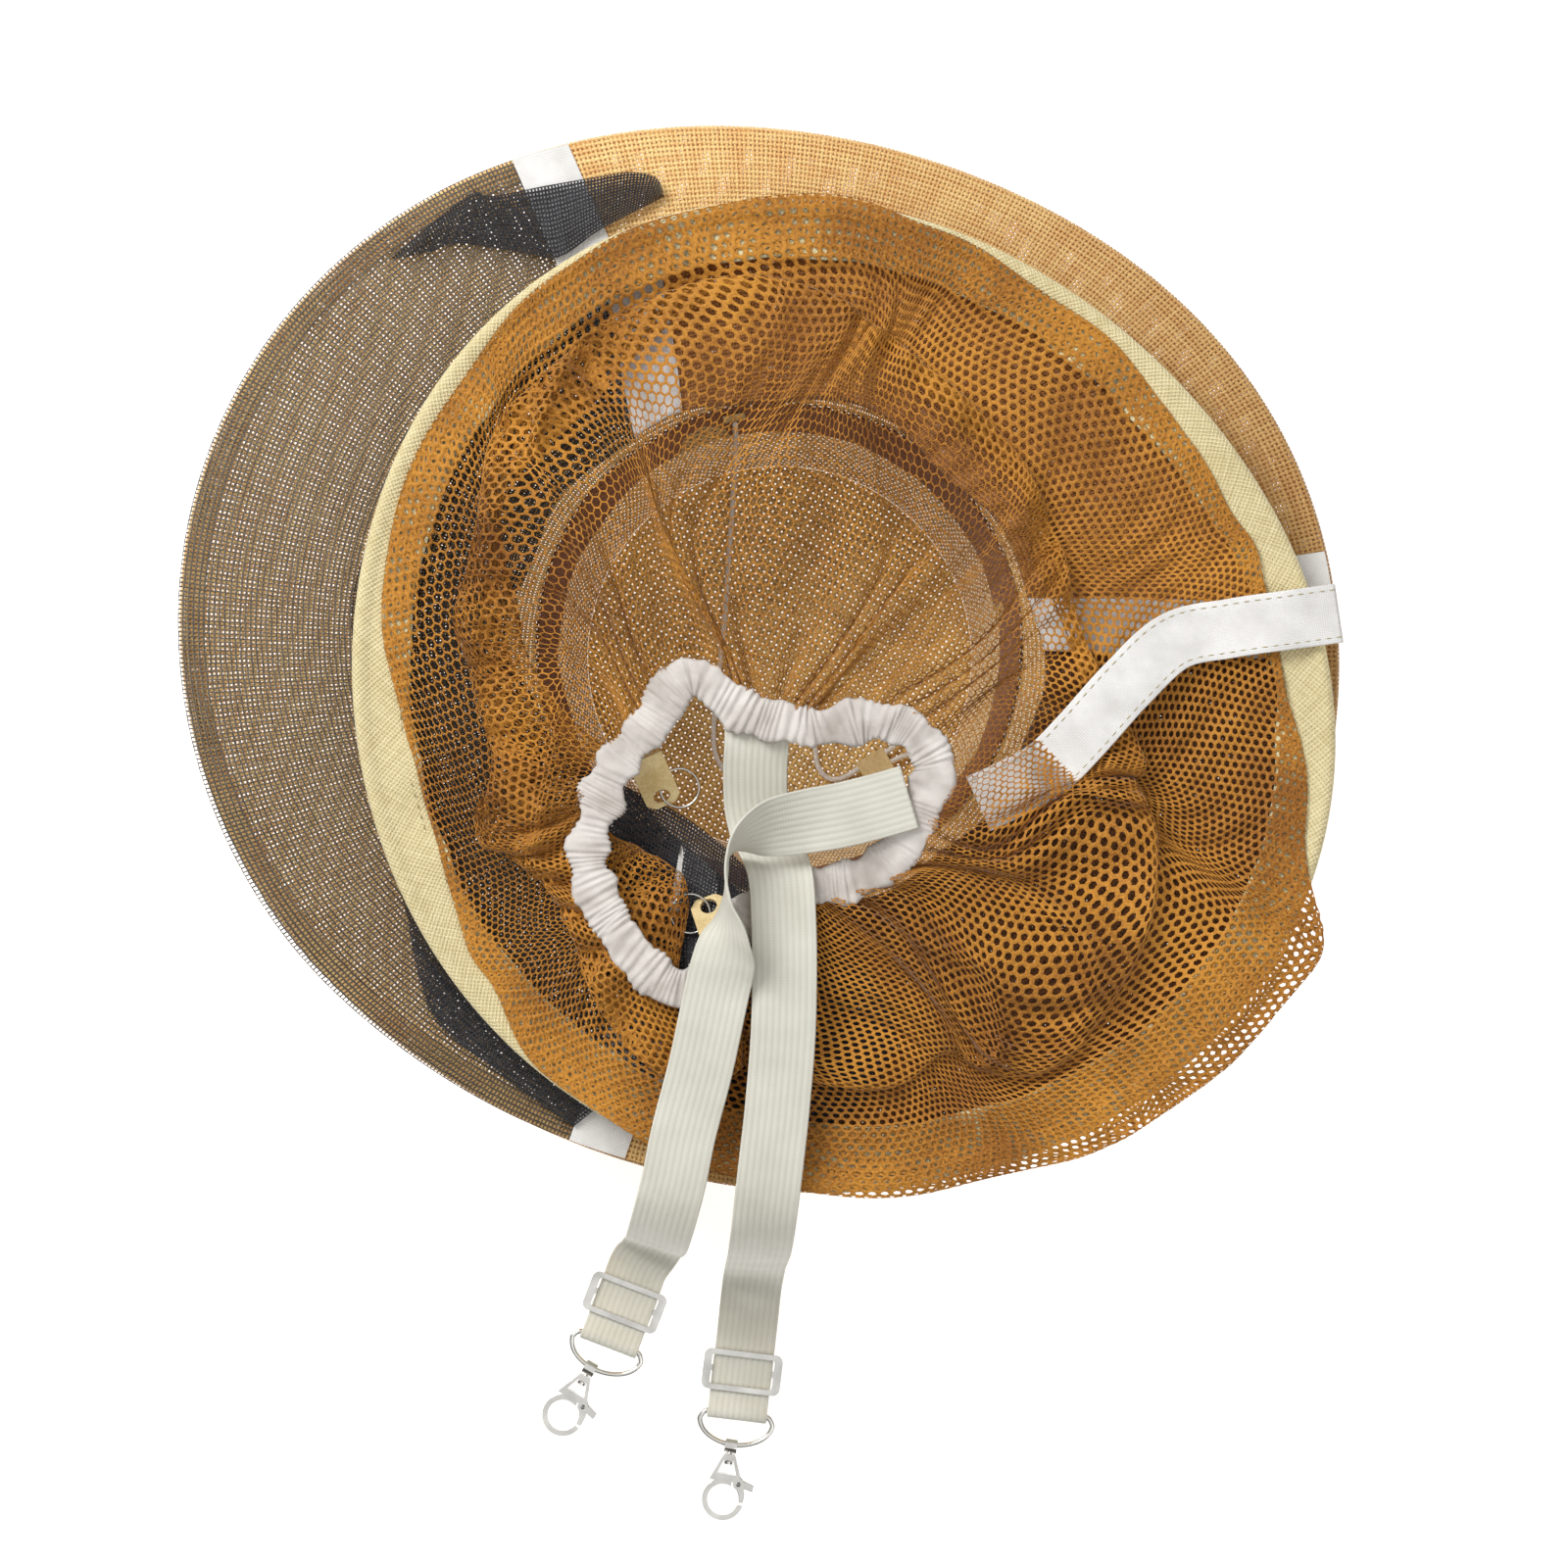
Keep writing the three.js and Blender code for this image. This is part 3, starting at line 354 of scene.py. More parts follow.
class Shader:
    """One material on the Principled shader, with short calls to add nodes."""

    def __init__(self, name, roughness=0.8, metallic=0.0, specular=0.5, sheen=0.0):
        self.material = bpy.data.materials.new(name)
        self.material.use_nodes = True
        self.tree = self.material.node_tree
        self.principled = self.tree.nodes["Principled BSDF"]
        self.set("Roughness", roughness)
        self.set("Metallic", metallic)
        self.set("Specular IOR Level", specular)
        self.set("Sheen Weight", sheen)

    def feed(self, socket, value):
        """Gives a socket another node's output, or a plain value."""
        if isinstance(value, bpy.types.NodeSocket):
            self.tree.links.new(value, socket)
        else:
            socket.default_value = value

    def set(self, socket, value):
        self.feed(self.principled.inputs[socket], value)

    def node(self, kind, inputs=(), **settings):
        made = self.tree.nodes.new(kind)
        for key, value in settings.items():
            setattr(made, key, value)
        for key, value in dict(inputs).items():
            self.feed(made.inputs[key], value)
        return made

    def math(self, operation, a, b=0.0, clamp=False):
        return self.node("ShaderNodeMath", {0: a, 1: b}, operation=operation, use_clamp=clamp).outputs[0]

    def plus(self, a, b, clamp=False):
        return self.math("ADD", a, b, clamp)

    def times(self, a, b):
        return self.math("MULTIPLY", a, b)

    def ribs(self, across, pitch):
        """Round ridges, from 0 in the grooves to 1."""
        return self.math("ABSOLUTE", self.math("COSINE", self.times(across, math.pi / pitch)))

    def mix(self, factor, a, b):
        return self.node("ShaderNodeMix", {0: factor, 6: a, 7: b}, data_type="RGBA").outputs[2]

    def tint(self, tone, dark, light):
        return self.mix(tone, srgb(*dark), srgb(*light))

    def uv(self, turn=0.0):
        """The two UV coordinates, in metres, turned by some degrees."""
        place = self.node("ShaderNodeUVMap", uv_map="UVMap").outputs[0]
        if turn:
            place = self.node("ShaderNodeMapping", {0: place, 2: (0, 0, math.radians(turn))}).outputs[0]
        split = self.node("ShaderNodeSeparateXYZ", {0: place})
        return split.outputs[0], split.outputs[1]

    def noise(self, scale, detail=2.0, place=None):
        if place is None:
            place = self.node("ShaderNodeTexCoord").outputs["Object"]
        return self.node("ShaderNodeTexNoise", {0: place, "Scale": scale, "Detail": detail}).outputs[0]

    def ramp(self, value, low, high):
        """Value between low and high as 0 to 1."""
        return self.node("ShaderNodeMapRange", {0: value, 1: low, 2: high}).outputs[0]

    def bump(self, height, distance, strength=1.0):
        made = self.node("ShaderNodeBump", {"Strength": strength, "Distance": distance, "Height": height})
        self.set("Normal", made.outputs[0])


def woven(name, pitch, dark, light, hole=None, turn=0.0, contrast=1.0, patch=(30, 0.3), sheen=0.2,
          shifts=()):
    """A plain weave. hole is the share of the pitch left open, or None for close cloth. shifts are
    (axis, start, end, dark, light): other colours that take over along the cloth."""
    shader = Shader(name, roughness=0.85, specular=0.25, sheen=sheen)
    plus, times = shader.plus, shader.times
    u, v = shader.uv(turn)
    wobble = times(shader.math("SUBTRACT", shader.noise(260, 2), 0.5), 1.3)
    warp = shader.math("COSINE", plus(times(u, math.pi / pitch), wobble))
    weft = shader.math("COSINE", plus(times(v, math.pi / pitch), wobble))
    over = times(times(warp, weft), 0.45)
    warp_width, weft_width = shader.math("ABSOLUTE", warp), shader.math("ABSOLUTE", weft)
    height = shader.math("MAXIMUM", times(warp_width, plus(over, 1.0)),
                         times(weft_width, shader.math("SUBTRACT", 1.0, over)))
    # Each yarn differs a little from the next, and the whole cloth in soft patches.
    yarns = []
    for a, b in ((1.1 / pitch, 40.0), (40.0, 1.1 / pitch)):
        place = shader.node("ShaderNodeCombineXYZ", {0: times(u, a), 1: times(v, b)}).outputs[0]
        yarns.append(shader.noise(1, 1, place))
    tone = plus(times(shader.ramp(height, 0.45, 1.25), 0.55 * contrast),
                times(shader.ramp(plus(*yarns), 0.75, 1.25), 0.45))
    patches = shader.math("SUBTRACT", shader.noise(patch[0], 3), 0.5)
    tone = plus(tone, times(patches, patch[1]), clamp=True)
    colour = shader.tint(tone, dark, light)
    for axis, start, end, *other in shifts:
        share = shader.ramp(u if axis == "u" else v, start, end)
        colour = shader.mix(share, colour, shader.tint(tone, *other))
    shader.set("Base Color", colour)
    shader.bump(height, pitch * 0.25)
    if hole:
        edge = math.cos(math.pi * (1 - hole) / 2)
        widest = shader.math("MAXIMUM", warp_width, weft_width)
        shader.set("Alpha", shader.ramp(widest, edge - 0.06, edge + 0.06))
    return shader.material


def cotton(name, dark, light, weave=0.0006, wrinkle=0.4):
    """Close fine cotton, with its weave only in the bump."""
    shader = Shader(name, roughness=0.9, specular=0.2, sheen=0.25)
    u, v = shader.uv()
    fine = shader.math("MAXIMUM", shader.ribs(u, weave), shader.ribs(v, weave))
    tone = shader.plus(shader.times(fine, 0.3), shader.ramp(shader.noise(70, 3), 0.2, 0.8), clamp=True)
    shader.set("Base Color", shader.tint(tone, dark, light))
    creases = shader.times(shader.noise(240, 3), wrinkle)
    shader.bump(shader.plus(shader.times(fine, 0.25), creases), 0.0006)
    return shader.material


def ribbed(name, pitch, dark, light):
    """Knitted elastic: ribs along v and a fine crossing yarn."""
    shader = Shader(name, roughness=0.75, specular=0.3, sheen=0.2)
    u, v = shader.uv()
    height = shader.plus(shader.ribs(u, pitch), shader.times(shader.ribs(v, 0.0011), 0.3))
    tone = shader.plus(shader.times(height, 0.2), shader.times(shader.noise(45, 3), 0.75), clamp=True)
    shader.set("Base Color", shader.tint(tone, dark, light))
    shader.bump(height, 0.00007)
    return shader.material


def grained(name, dark, light, fine, broad, spread, bump, **finish):
    """Leather or soft yarn: a fine grain and broad patches, each (scale, detail, share)."""
    shader = Shader(name, **finish)
    grain = shader.noise(*fine[:2])
    tone = shader.plus(shader.times(grain, fine[2]), shader.times(shader.noise(*broad[:2]), broad[2]))
    shader.set("Base Color", shader.tint(shader.ramp(tone, 0.5 - spread, 0.5 + spread), dark, light))
    shader.bump(grain, 0.0004, bump)
    return shader.material


def metal(name, colour, roughness, wear=0.12):
    shader = Shader(name, roughness=roughness, metallic=1.0)
    dull = shader.noise(90, 2)
    shader.set("Base Color", shader.tint(shader.ramp(dull, 0.3, 0.7), colour, [c * 0.86 for c in colour]))
    shader.set("Roughness", shader.plus(shader.times(dull, wear), roughness - wear / 2))
    shader.bump(shader.noise(420, 4), 0.00008, 0.5)
    return shader.material


def threads(name, dark, light):
    """Sewing thread and braided cord."""
    shader = Shader(name, roughness=0.8, specular=0.3, sheen=0.3)
    fine = shader.noise(1400, 3)
    shader.set("Base Color", shader.tint(shader.ramp(fine, 0.3, 0.7), dark, light))
    shader.bump(fine, 0.0003)
    return shader.material


# Past its fold a curtain panel shows its other face, painted darker as the shade it lies in under the net.
# The tan cloth is browner at the right.
PAST_FOLD_SHADE = ("v", 0.5 * CURTAIN_LENGTH - 0.006, 0.5 * CURTAIN_LENGTH + 0.006)
BROWNER = ((160, 102, 50), (206, 166, 106))
TAN_WEAVE = dict(pitch=0.0017, dark=(212, 140, 76), light=(255, 220, 150), hole=0.32, contrast=1.1,
                 patch=(18, 0.35))
TAN = woven("tan_weave", **TAN_WEAVE)
TAN_BINDING = woven("tan_binding", **TAN_WEAVE, shifts=[("u", 0.38, 0.08, *BROWNER),
                                                        ("u", 0.90, 1.00, *BROWNER)])
# The tan panels' second colours, past their fold, are painted shade.
TAN_PANEL = woven("tan_panel", **TAN_WEAVE, shifts=[
    ("u", 0.34, 0.07, *BROWNER), (*PAST_FOLD_SHADE, (122, 70, 30), (206, 142, 80))])
# This panel's colours past its fold are darker still: deeper painted shade.
TAN_PANEL_DEEP_SHADE = woven("tan_panel_deep_shade", **TAN_WEAVE, shifts=[
    ("u", 0.80, 1.00, *BROWNER), (*PAST_FOLD_SHADE, (58, 32, 14), (120, 74, 36))])
TAN_CROWN = woven("crown_weave", 0.0026, (118, 64, 20), (255, 214, 136), hole=0.30, turn=32, contrast=1.3,
                  patch=(18, 0.3))
BROWN = woven("brown_lining", 0.0009, (120, 66, 24), (176, 112, 56), patch=(26, 0.5))
# The screen's colours past its fold are painted shade, like the tan panels'.
BLACK = woven("black_screen", 0.0015, (14, 12, 12), (110, 102, 92), hole=0.66, contrast=1.3, sheen=0.1,
              shifts=[("u", 0.60, 0.80, (8, 7, 7), (86, 78, 68)), (*PAST_FOLD_SHADE, (9, 8, 8), (58, 50, 42))])
BLACK_DENSE = woven("black_screen_fold", 0.0013, (20, 19, 20), (62, 62, 66), hole=0.45, sheen=0.1)
CANVAS = woven("cream_canvas", 0.0014, (204, 186, 134), (244, 230, 184), patch=(24, 0.4), contrast=0.9,
               turn=45)
WHITE = cotton("white_cotton", (154, 142, 130), (230, 224, 218))
TAPE = cotton("white_tape", (204, 201, 196), (242, 240, 237), weave=0.0009, wrinkle=0.2)
ELASTIC = ribbed("white_elastic", 0.0025, (184, 181, 164), (233, 231, 219))
LEATHER = grained("pale_leather", (206, 178, 118), (238, 216, 164), (900, 4, 0.4), (70, 3, 0.6), 0.15, 0.6,
                  roughness=0.62, specular=0.35)
NET = grained("amber_net", (144, 88, 20), (204, 140, 46), (900, 3, 0.5), (22, 2, 0.5), 0.12, 1.0,
              roughness=0.62, specular=0.3, sheen=0.2)
NICKEL = metal("nickel", (232, 230, 224), 0.17, wear=0.08)
STEEL = metal("steel_wire", (150, 150, 148), 0.4)
THREAD = threads("white_thread", (214, 208, 200), (250, 248, 242))
TAN_THREAD = threads("tan_thread", (150, 92, 44), (206, 146, 84))
CANVAS_THREAD = threads("canvas_thread", (168, 150, 92), (206, 190, 130))


# ---- camera and chin cord ----
CAMERA_LENS = 87.7              # millimetres
CAMERA_PLACE = (0.0019, -0.0898, 1.6096)
CAMERA_TILT = math.radians(1.3)


def make_camera():
    data = bpy.data.cameras.new("camera")
    data.lens = CAMERA_LENS
    data.sensor_width = 36
    camera = linked("camera", data)
    camera.location = CAMERA_PLACE
    camera.rotation_euler = (CAMERA_TILT, 0, 0)
    bpy.context.scene.camera = camera


def make_cord():
    cord = wire("chin_cord_braid", smooth_line(CORD_ROUTE, 260), CORD_RADIUS, THREAD)
    attach(cord, "hat", "white_cord", "chin_cord")
    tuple(CORD_ROUTE[0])


# ---- hat ----
def crown_radius(z):
    return CROWN_TIP_RADIUS + (CROWN_MOUTH_RADIUS - CROWN_TIP_RADIUS) * z / CROWN_DEPTH


def hat_sheet(piece, node, slot):
    """A sheet that is stretched over the hat."""
    attach(piece, "hat", slot, node)


def make_crown_tip():
    angle = np.linspace(0, TURN, 181)[None, :]
    radius = np.linspace(0.0, CROWN_TIP_RADIUS + SKIN, 26)[1:, None]
    ripple = Waves(3, (2, 7), (20, 60))(angle, radius)
    z = SKIN + 0.0006 * (1 + ripple) * step(0.0, 0.05, radius) * step(0.0808, 0.0720, radius)
    points = ring_point(ORIGIN, radius, angle, z)
    tip = grid_piece("crown_tip_cloth", points, TAN_CROWN, (points[..., 0], points[..., 1]), (False, True))
    close_rings(tip, [range(180)], as_sheet=True)
    hat_sheet(tip, "crown_tip", "tan_cloth")


def make_crown_side():
    angle = np.linspace(0, TURN, 181)[None, :]
    rise = np.linspace(0.0, 1.0, 30)[:, None]
    height = SKIN + rise * (CROWN_DEPTH - SKIN)
    buckle = Waves(5, (3, 11), (25, 70))(angle, height)
    radius = crown_radius(height) + SKIN + 0.0009 * buckle * np.sin(math.pi * rise)
    side = grid_piece("crown_side_cloth", ring_point(ORIGIN, radius, angle, height), TAN_CROWN,
                      (angle * CROWN_TIP_RADIUS, height), (False, True))
    hat_sheet(side, "crown_side", "tan_cloth")


def make_sweatband():
    angle = np.linspace(0, TURN, 181)[None, :]
    rows = np.array([0.0, 0.001, 0.004, 0.018, 0.032, 0.035, 0.036])[:, None]
    height = SWEATBAND_TOP - SWEATBAND_DEPTH + rows
    hem = 0.0004 * (step(0.004, 0.001, rows) + step(0.032, 0.035, rows))
    radius = crown_radius(height) - 0.0009 + hem + 0.0003 * Waves(8, (4, 16), (40, 90))(angle, rows)
    band = grid_piece("sweatband_cloth", ring_point(ORIGIN, radius, angle, height), BROWN,
                      (angle * CROWN_MOUTH_RADIUS, rows), (False, True))
    hat_sheet(band, "sweatband", "lining")
    height = SWEATBAND_TOP - 0.0025
    seam = ring_point(ORIGIN, crown_radius(height) - 0.0013, np.linspace(0, TURN, 900), height)
    attach(stitches("sweatband_stitches", TAN_THREAD, seam), "hat", "lining")


def stitches(name, material, line, length=0.0028, gap=0.0014, radius=0.00028):
    """A row of short raised stitches along a line of points, as one mesh of thin diamonds."""
    total = np.linalg.norm(np.diff(line, axis=0), axis=1).sum()
    count = max(1, int(total / (length + gap)))
    line = evenly(line, count * 6 + 1)
    points, faces = [], []
    for i in range(count):
        start, middle, end = line[i * 6], line[i * 6 + 2], line[i * 6 + 4]
        along = (end - start) / np.linalg.norm(end - start)
        side = np.cross(along, (0, 0, 1))
        side /= np.linalg.norm(side)
        up = np.cross(side, along)
        base = len(points)
        ring = [side * radius * 1.2, up * radius, -side * radius * 1.2, -up * radius]
        points += [start, *(middle + offset for offset in ring), end]
        for k in range(4):
            a, b = base + 1 + k, base + 1 + (k + 1) % 4
            faces += [(base, a, b), (base + 5, b, a)]
    return mesh_piece(name, points, faces, material)


def make_brim():
    angle = np.linspace(0, TURN, 361)[None, :]
    across = np.linspace(0, 1, 30)[:, None]
    low = CROWN_DEPTH + 0.0010
    inner = ring_point(ORIGIN, CROWN_MOUTH_RADIUS, angle, low)
    outer = brim_point(0.0035, angle, BRIM_EDGE_Z)
    points = inner * (1 - across[..., None]) + outer * across[..., None]
    points[..., 2] = low + (BRIM_EDGE_Z - low) * np.minimum(across * 1.06, 1)
    points[..., 2] += 0.0006 * Waves(12, (3, 12), (3, 9))(angle, across) * np.sin(math.pi * across)
    radius = np.linalg.norm(points[..., :2] - np.array(BRIM_CENTRE), axis=-1)
    brim = grid_piece("brim_cloth", points, TAN, (angle * BRIM_MEAN_RADIUS, radius), (False, True))
    hat_sheet(brim, "brim", "tan_cloth")


def make_brim_binding():
    """Wraps the brim's wire and puckers a little at each stitch."""
    angle = np.linspace(0, TURN, 541)[:, None]
    section = smooth_line([(-7, 1.3), (-4, 1.6), (-1.2, 2.0), (1.2, 1.8), (2.3, 0), (1.2, -1.8),
                           (-1.2, -2.0), (-4, -1.6), (-7, -1.3), (-7.2, 0)], 27, closed=True) * MM
    pucker = 1 + 0.05 * np.sin(180 * angle) + 0.05 * Waves(15, (10, 60), (0, 1))(angle)
    points = brim_point(0.0023 - section[None, :, 0], angle, BRIM_EDGE_Z + section[None, :, 1] * pucker)
    run = np.linspace(0, 0.02, 27)[None, :]
    binding = grid_piece("brim_binding_cloth", points, TAN_BINDING, (angle * BRIM_RADIUS, run),
                         (True, True))
    attach(binding, "hat", "tan_cloth", "brim_binding")


# ---- curtain ----
# Metres by degrees round the curtain: how far its fold is pulled in, how far the screen comes out
# over the brim's binding, which only it hides, and how far the screen bulges out under the hoop.
FOLD_IN = [(0, 0), (60, 0.002), (115, 0.003), (180, 0.004), (222, 0.030), (245, 0.034), (275, 0.006)]
SCREEN_OUT = [(116, 0.0), (122, 0.0016), (185, 0.0016), (193, 0.0030), (203, 0.0025), (212, 0.0045),
              (220, 0.0020), (243, 0.0016), (249, 0.0), (300, 0.0)]
SCREEN_BULGE = [(150, 0), (168, 0.0105), (177, 0.006), (190, 0.002), (200, 0.005), (210, 0.0115),
                (219, 0.009), (227, 0), (300, 0)]
# Both ends of each sharp crease that packing has left in the screen.
CREASES = [((-0.178, 0.129), (-0.153, 0.147)), ((-0.187, 0.063), (-0.174, 0.082)),
           ((-0.196, -0.03), (-0.19, 0.0))]
CREASE_HEIGHT = 0.0011
CREASE_WIDTH = 0.0016
# The curtain's height at the brim, below and above its fold, and at the hoop.
CURTAIN_Z = (0.1072, 0.1104, 0.1172, 0.1212)
CURTAIN_ROWS = 120
SEAM_GAP = 0.2                  # degrees that a panel stops short of its seam


def curtain_points(angle):
    """Rows of the folded curtain from the brim's edge in to the fold and out to the hoop."""
    t = np.linspace(0, 1, CURTAIN_ROWS)[:, None]
    brim = brim_point(0.0015 - by_angle(SCREEN_OUT, angle), angle, CURTAIN_Z[0])
    pull = FOLD_RADIUS - by_angle(FOLD_IN, angle)
    low, high = (ring_point(FOLD_CENTRE, pull, angle, z) for z in CURTAIN_Z[1:3])
    hoop = hoop_point(HOOP_WIRE_RING - 0.004 + by_angle(SCREEN_BULGE, angle, 3), angle, CURTAIN_Z[3])
    corners = np.stack([brim, (brim + low) / 2, low, high, (high + hoop) / 2, hoop])
    place = np.array([0.0, 0.26, 0.52, 0.60, 0.80, 1.0])
    points = np.empty((CURTAIN_ROWS, len(angle), 3))
    for column, k in np.ndindex(len(angle), 3):
        points[:, column, k] = np.interp(t[:, 0], place, corners[:, column, k])
    # Rounds the fold, then pleats the cloth where the ring gets shorter.
    for _ in range(3):
        points[1:-1] = 0.25 * points[:-2] + 0.5 * points[1:-1] + 0.25 * points[2:]
    shorter = np.exp(-((t - 0.56) / 0.19) ** 2)
    pleat = np.sin(52 * angle + 2.2 * Waves(21, (2, 7), (2, 5))(angle, t))
    soft = Waves(22, (4, 14), (4, 12))(angle, t)
    points[..., 2] += (0.0011 * pleat + 0.0010 * soft) * shorter
    out = points[..., :2] - np.array(FOLD_CENTRE)
    out /= np.linalg.norm(out, axis=-1, keepdims=True)
    points[..., :2] += out * (0.0020 * Waves(23, (3, 15), (3, 8))(angle, t) * shorter)[..., None]
    for start, end in CREASES:
        start, end = np.array(start), np.array(end)
        along = end - start
        reach = np.clip(((points[..., :2] - start) @ along) / (along @ along), 0, 1)
        away = np.linalg.norm(points[..., :2] - start - reach[..., None] * along, axis=-1)
        ridge = np.exp(-(away / CREASE_WIDTH) ** 2) * np.sin(math.pi * reach)
        points[..., 2] += CREASE_HEIGHT * ridge * step(0.55, 0.4, t)
    return points, t


def make_panel(name, node, start, end, material, slot):
    columns = int((end - start) * 3)
    angle = np.radians(np.linspace(start, end, columns))
    points, t = curtain_points(angle)
    piece = grid_piece(name, points, material, (angle[None, :] * CURTAIN_MEAN_RADIUS, t * CURTAIN_LENGTH))
    attach(piece, None, slot, node)
    blend_curtain(piece)


SCREEN_FOLDS = {
    # Where the screen is sewn to the side tape, a corner of it folds over the tape.
    "front_screen_fold": dict(body="hat", height=(0.1102, 0.0022), flat=(0.12, 0.021), top=[
        (-153, 151), (-137, 165), (-121, 177), (-113.2, 175.8), (-90.5, 180.2), (-73.2, 182.9),
        (-58.9, 185), (-48.5, 183), (-45.5, 176)], low=[
        (-152.5, 150.6), (-139, 153.5), (-125.2, 157.1), (-98.2, 152.9), (-86.3, 151.7), (-72.4, 161),
        (-59.7, 168), (-50, 173), (-45.3, 175.6)]),
    # Below the band at the front it is doubled into a long dark crease.
    "front_screen_crease": dict(body="hat", height=(0.1100, 0.0010), flat=(0.108, 0.018), top=[
        (-140.1, -99.3), (-124.9, -125.3), (-109.7, -144.1), (-93.5, -159.5), (-75.9, -172.6),
        (-66.2, -178.5)], low=[
        (-146.5, -103), (-142.4, -128), (-134.7, -148.7), (-117.2, -163.7), (-97.2, -178.7),
        (-80.5, -190)]),
    # At the other side tape a loose corner lies in under the net.
    "front_screen_corner": dict(body="hoop", height=(0.1219, 0.0004), flat=(0.10, 0.055), top=[
        (-46, -106), (-20, -110), (5, -114), (24, -122), (38, -134), (46, -150)], low=[
        (-44, -184), (-20, -188), (2, -190), (16, -189), (32, -181), (45, -160)]),
    # The screen's inner edge hangs over the crown's mouth below the collar.
    "front_screen_edge": dict(body="hoop", height=(0.1190, 0.0006), flat=(0.10, 0.036), top=[
        (-76, -50), (-58, -58), (-38, -68), (-22, -80), (-8, -92), (8, -99)], low=[
        (-80, -78), (-66, -96), (-46, -110), (-24, -118), (-4, -120), (10, -114)]),
}


def make_screen_folds():
    for name, fold in SCREEN_FOLDS.items():
        rows, columns = 28, 90
        top, low = (smooth_line(fold[edge], columns) * MM for edge in ("top", "low"))
        share = np.linspace(0, 1, rows)[:, None]
        run = np.linspace(0, 1, columns)[None, :]
        points = np.empty((rows, columns, 3))
        points[..., :2] = top[None] * (1 - share[..., None]) + low[None] * share[..., None]
        ripple = 0.45 * Waves(71, (3, 9), (3, 7))(4 * run, share) + 0.5 * np.sin(9 * run + 2 * share)
        base, rise = fold["height"]
        points[..., 2] = base + rise * run + 0.4 * rise * ripple
        width, length = fold["flat"]
        piece = grid_piece(name, points, BLACK_DENSE, (run * width, share * length))
        attach(piece, fold["body"], "black_screen")


def blend_curtain(piece):
    """Bakes a piece of the curtain's placement into its mesh."""
    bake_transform(piece)


def make_curtain():
    right, top, bottom = SEAM_ANGLES
    for name, node, start, end, material, slot in (
            ("front_screen_mesh", "front_screen", top, bottom, BLACK, "black_screen"),
            ("rear_panel_a_cloth", "rear_panel_a", right, top, TAN_PANEL, "tan_cloth"),
            ("rear_panel_b_cloth", "rear_panel_b", bottom, 360 + right, TAN_PANEL_DEEP_SHADE, "tan_cloth")):
        make_panel(name, node, start + SEAM_GAP, end - SEAM_GAP, material, slot)
    make_screen_folds()
    for name, seam in zip(("back", "side_a", "side_b"), SEAM_ANGLES):
        make_curtain_tape(name, seam)


def make_curtain_tape(name, seam):
    """A tape along one seam of the curtain, following its cloth."""
    across = np.linspace(-TAPE_WIDTH / 2, TAPE_WIDTH / 2, 13)
    middle = 12
    degrees = np.linspace(seam - 6, seam + 6, 2 * middle + 1)
    cloth, t = curtain_points(np.radians(degrees))
    points = np.empty((CURTAIN_ROWS, len(across), 3))
    for row in range(CURTAIN_ROWS):
        run = np.linalg.norm(np.diff(cloth[row], axis=0), axis=1)
        along = np.concatenate([[0], np.cumsum(run)])
        for k in range(3):
            points[row, :, k] = np.interp(across + along[middle], along, cloth[row, :, k])
    points[..., 2] += TAPE_LIFT
    piece = grid_piece(f"curtain_tape_{name}_cloth", points, TAPE, (across[None, :], t * CURTAIN_LENGTH))
    attach(piece, None, "white_cloth", f"curtain_tape_{name}")
    blend_curtain(piece)


# ---- hoop ----
def make_hoop():
    angle = np.linspace(0, TURN, 721)[:, None]
    section = smooth_line([(-19, 0.7), (-12, 0.8), (-5, 1.1), (-1.7, 2.2), (0.8, 2.5), (2.7, 1.2),
                           (2.9, -0.6), (1.2, -2.4), (-1.5, -2.2), (-5, -1.1), (-12, -0.8), (-19, -0.7),
                           (-19.5, 0)], 49, closed=True) * MM
    wave = Waves(31, (5, 40), (0, 1), 14)(angle)
    inner = step(-0.003, -0.019, section[None, :, 0])
    points = hoop_point(HOOP_WIRE_RING + section[None, :, 0] - 0.0006 * wave * inner, angle,
                        HOOP_Z + section[None, :, 1] + 0.0005 * wave * inner)
    run = np.linspace(0, 0.046, 49)[None, :]
    band = grid_piece("hoop_band_canvas", points, CANVAS, (angle * HOOP_WIRE_RING, run), (True, True))
    attach(band, "hoop", "canvas", "hoop_band")
    seam = hoop_point(HOOP_WIRE_RING - 0.0150, np.linspace(0, TURN, 1300), HOOP_Z + 0.00085)
    attach(stitches("hoop_stitches", CANVAS_THREAD, seam, 0.0022, 0.0022, 0.00024), "hoop", "canvas")


# ---- collar ----
COLLAR_LINE = smooth_line([(x * MM, y * MM) for x, y in COLLAR_POINTS], 1441, closed=True)


def collar_frame(count):
    """Places and outward directions round the collar, with its first point repeated last."""
    line = evenly(COLLAR_LINE, count)
    ahead = np.roll(line[:-1], -1, axis=0)
    behind = np.roll(line[:-1], 1, axis=0)
    tangent = ahead - behind
    tangent /= np.linalg.norm(tangent, axis=1)[:, None]
    outward = np.stack([-tangent[:, 1], tangent[:, 0]], axis=1)
    middle = line[:-1].mean(0)
    if ((line[:-1] - middle) * outward).sum() < 0:
        outward = -outward
    return line, np.vstack([outward, outward[:1]])


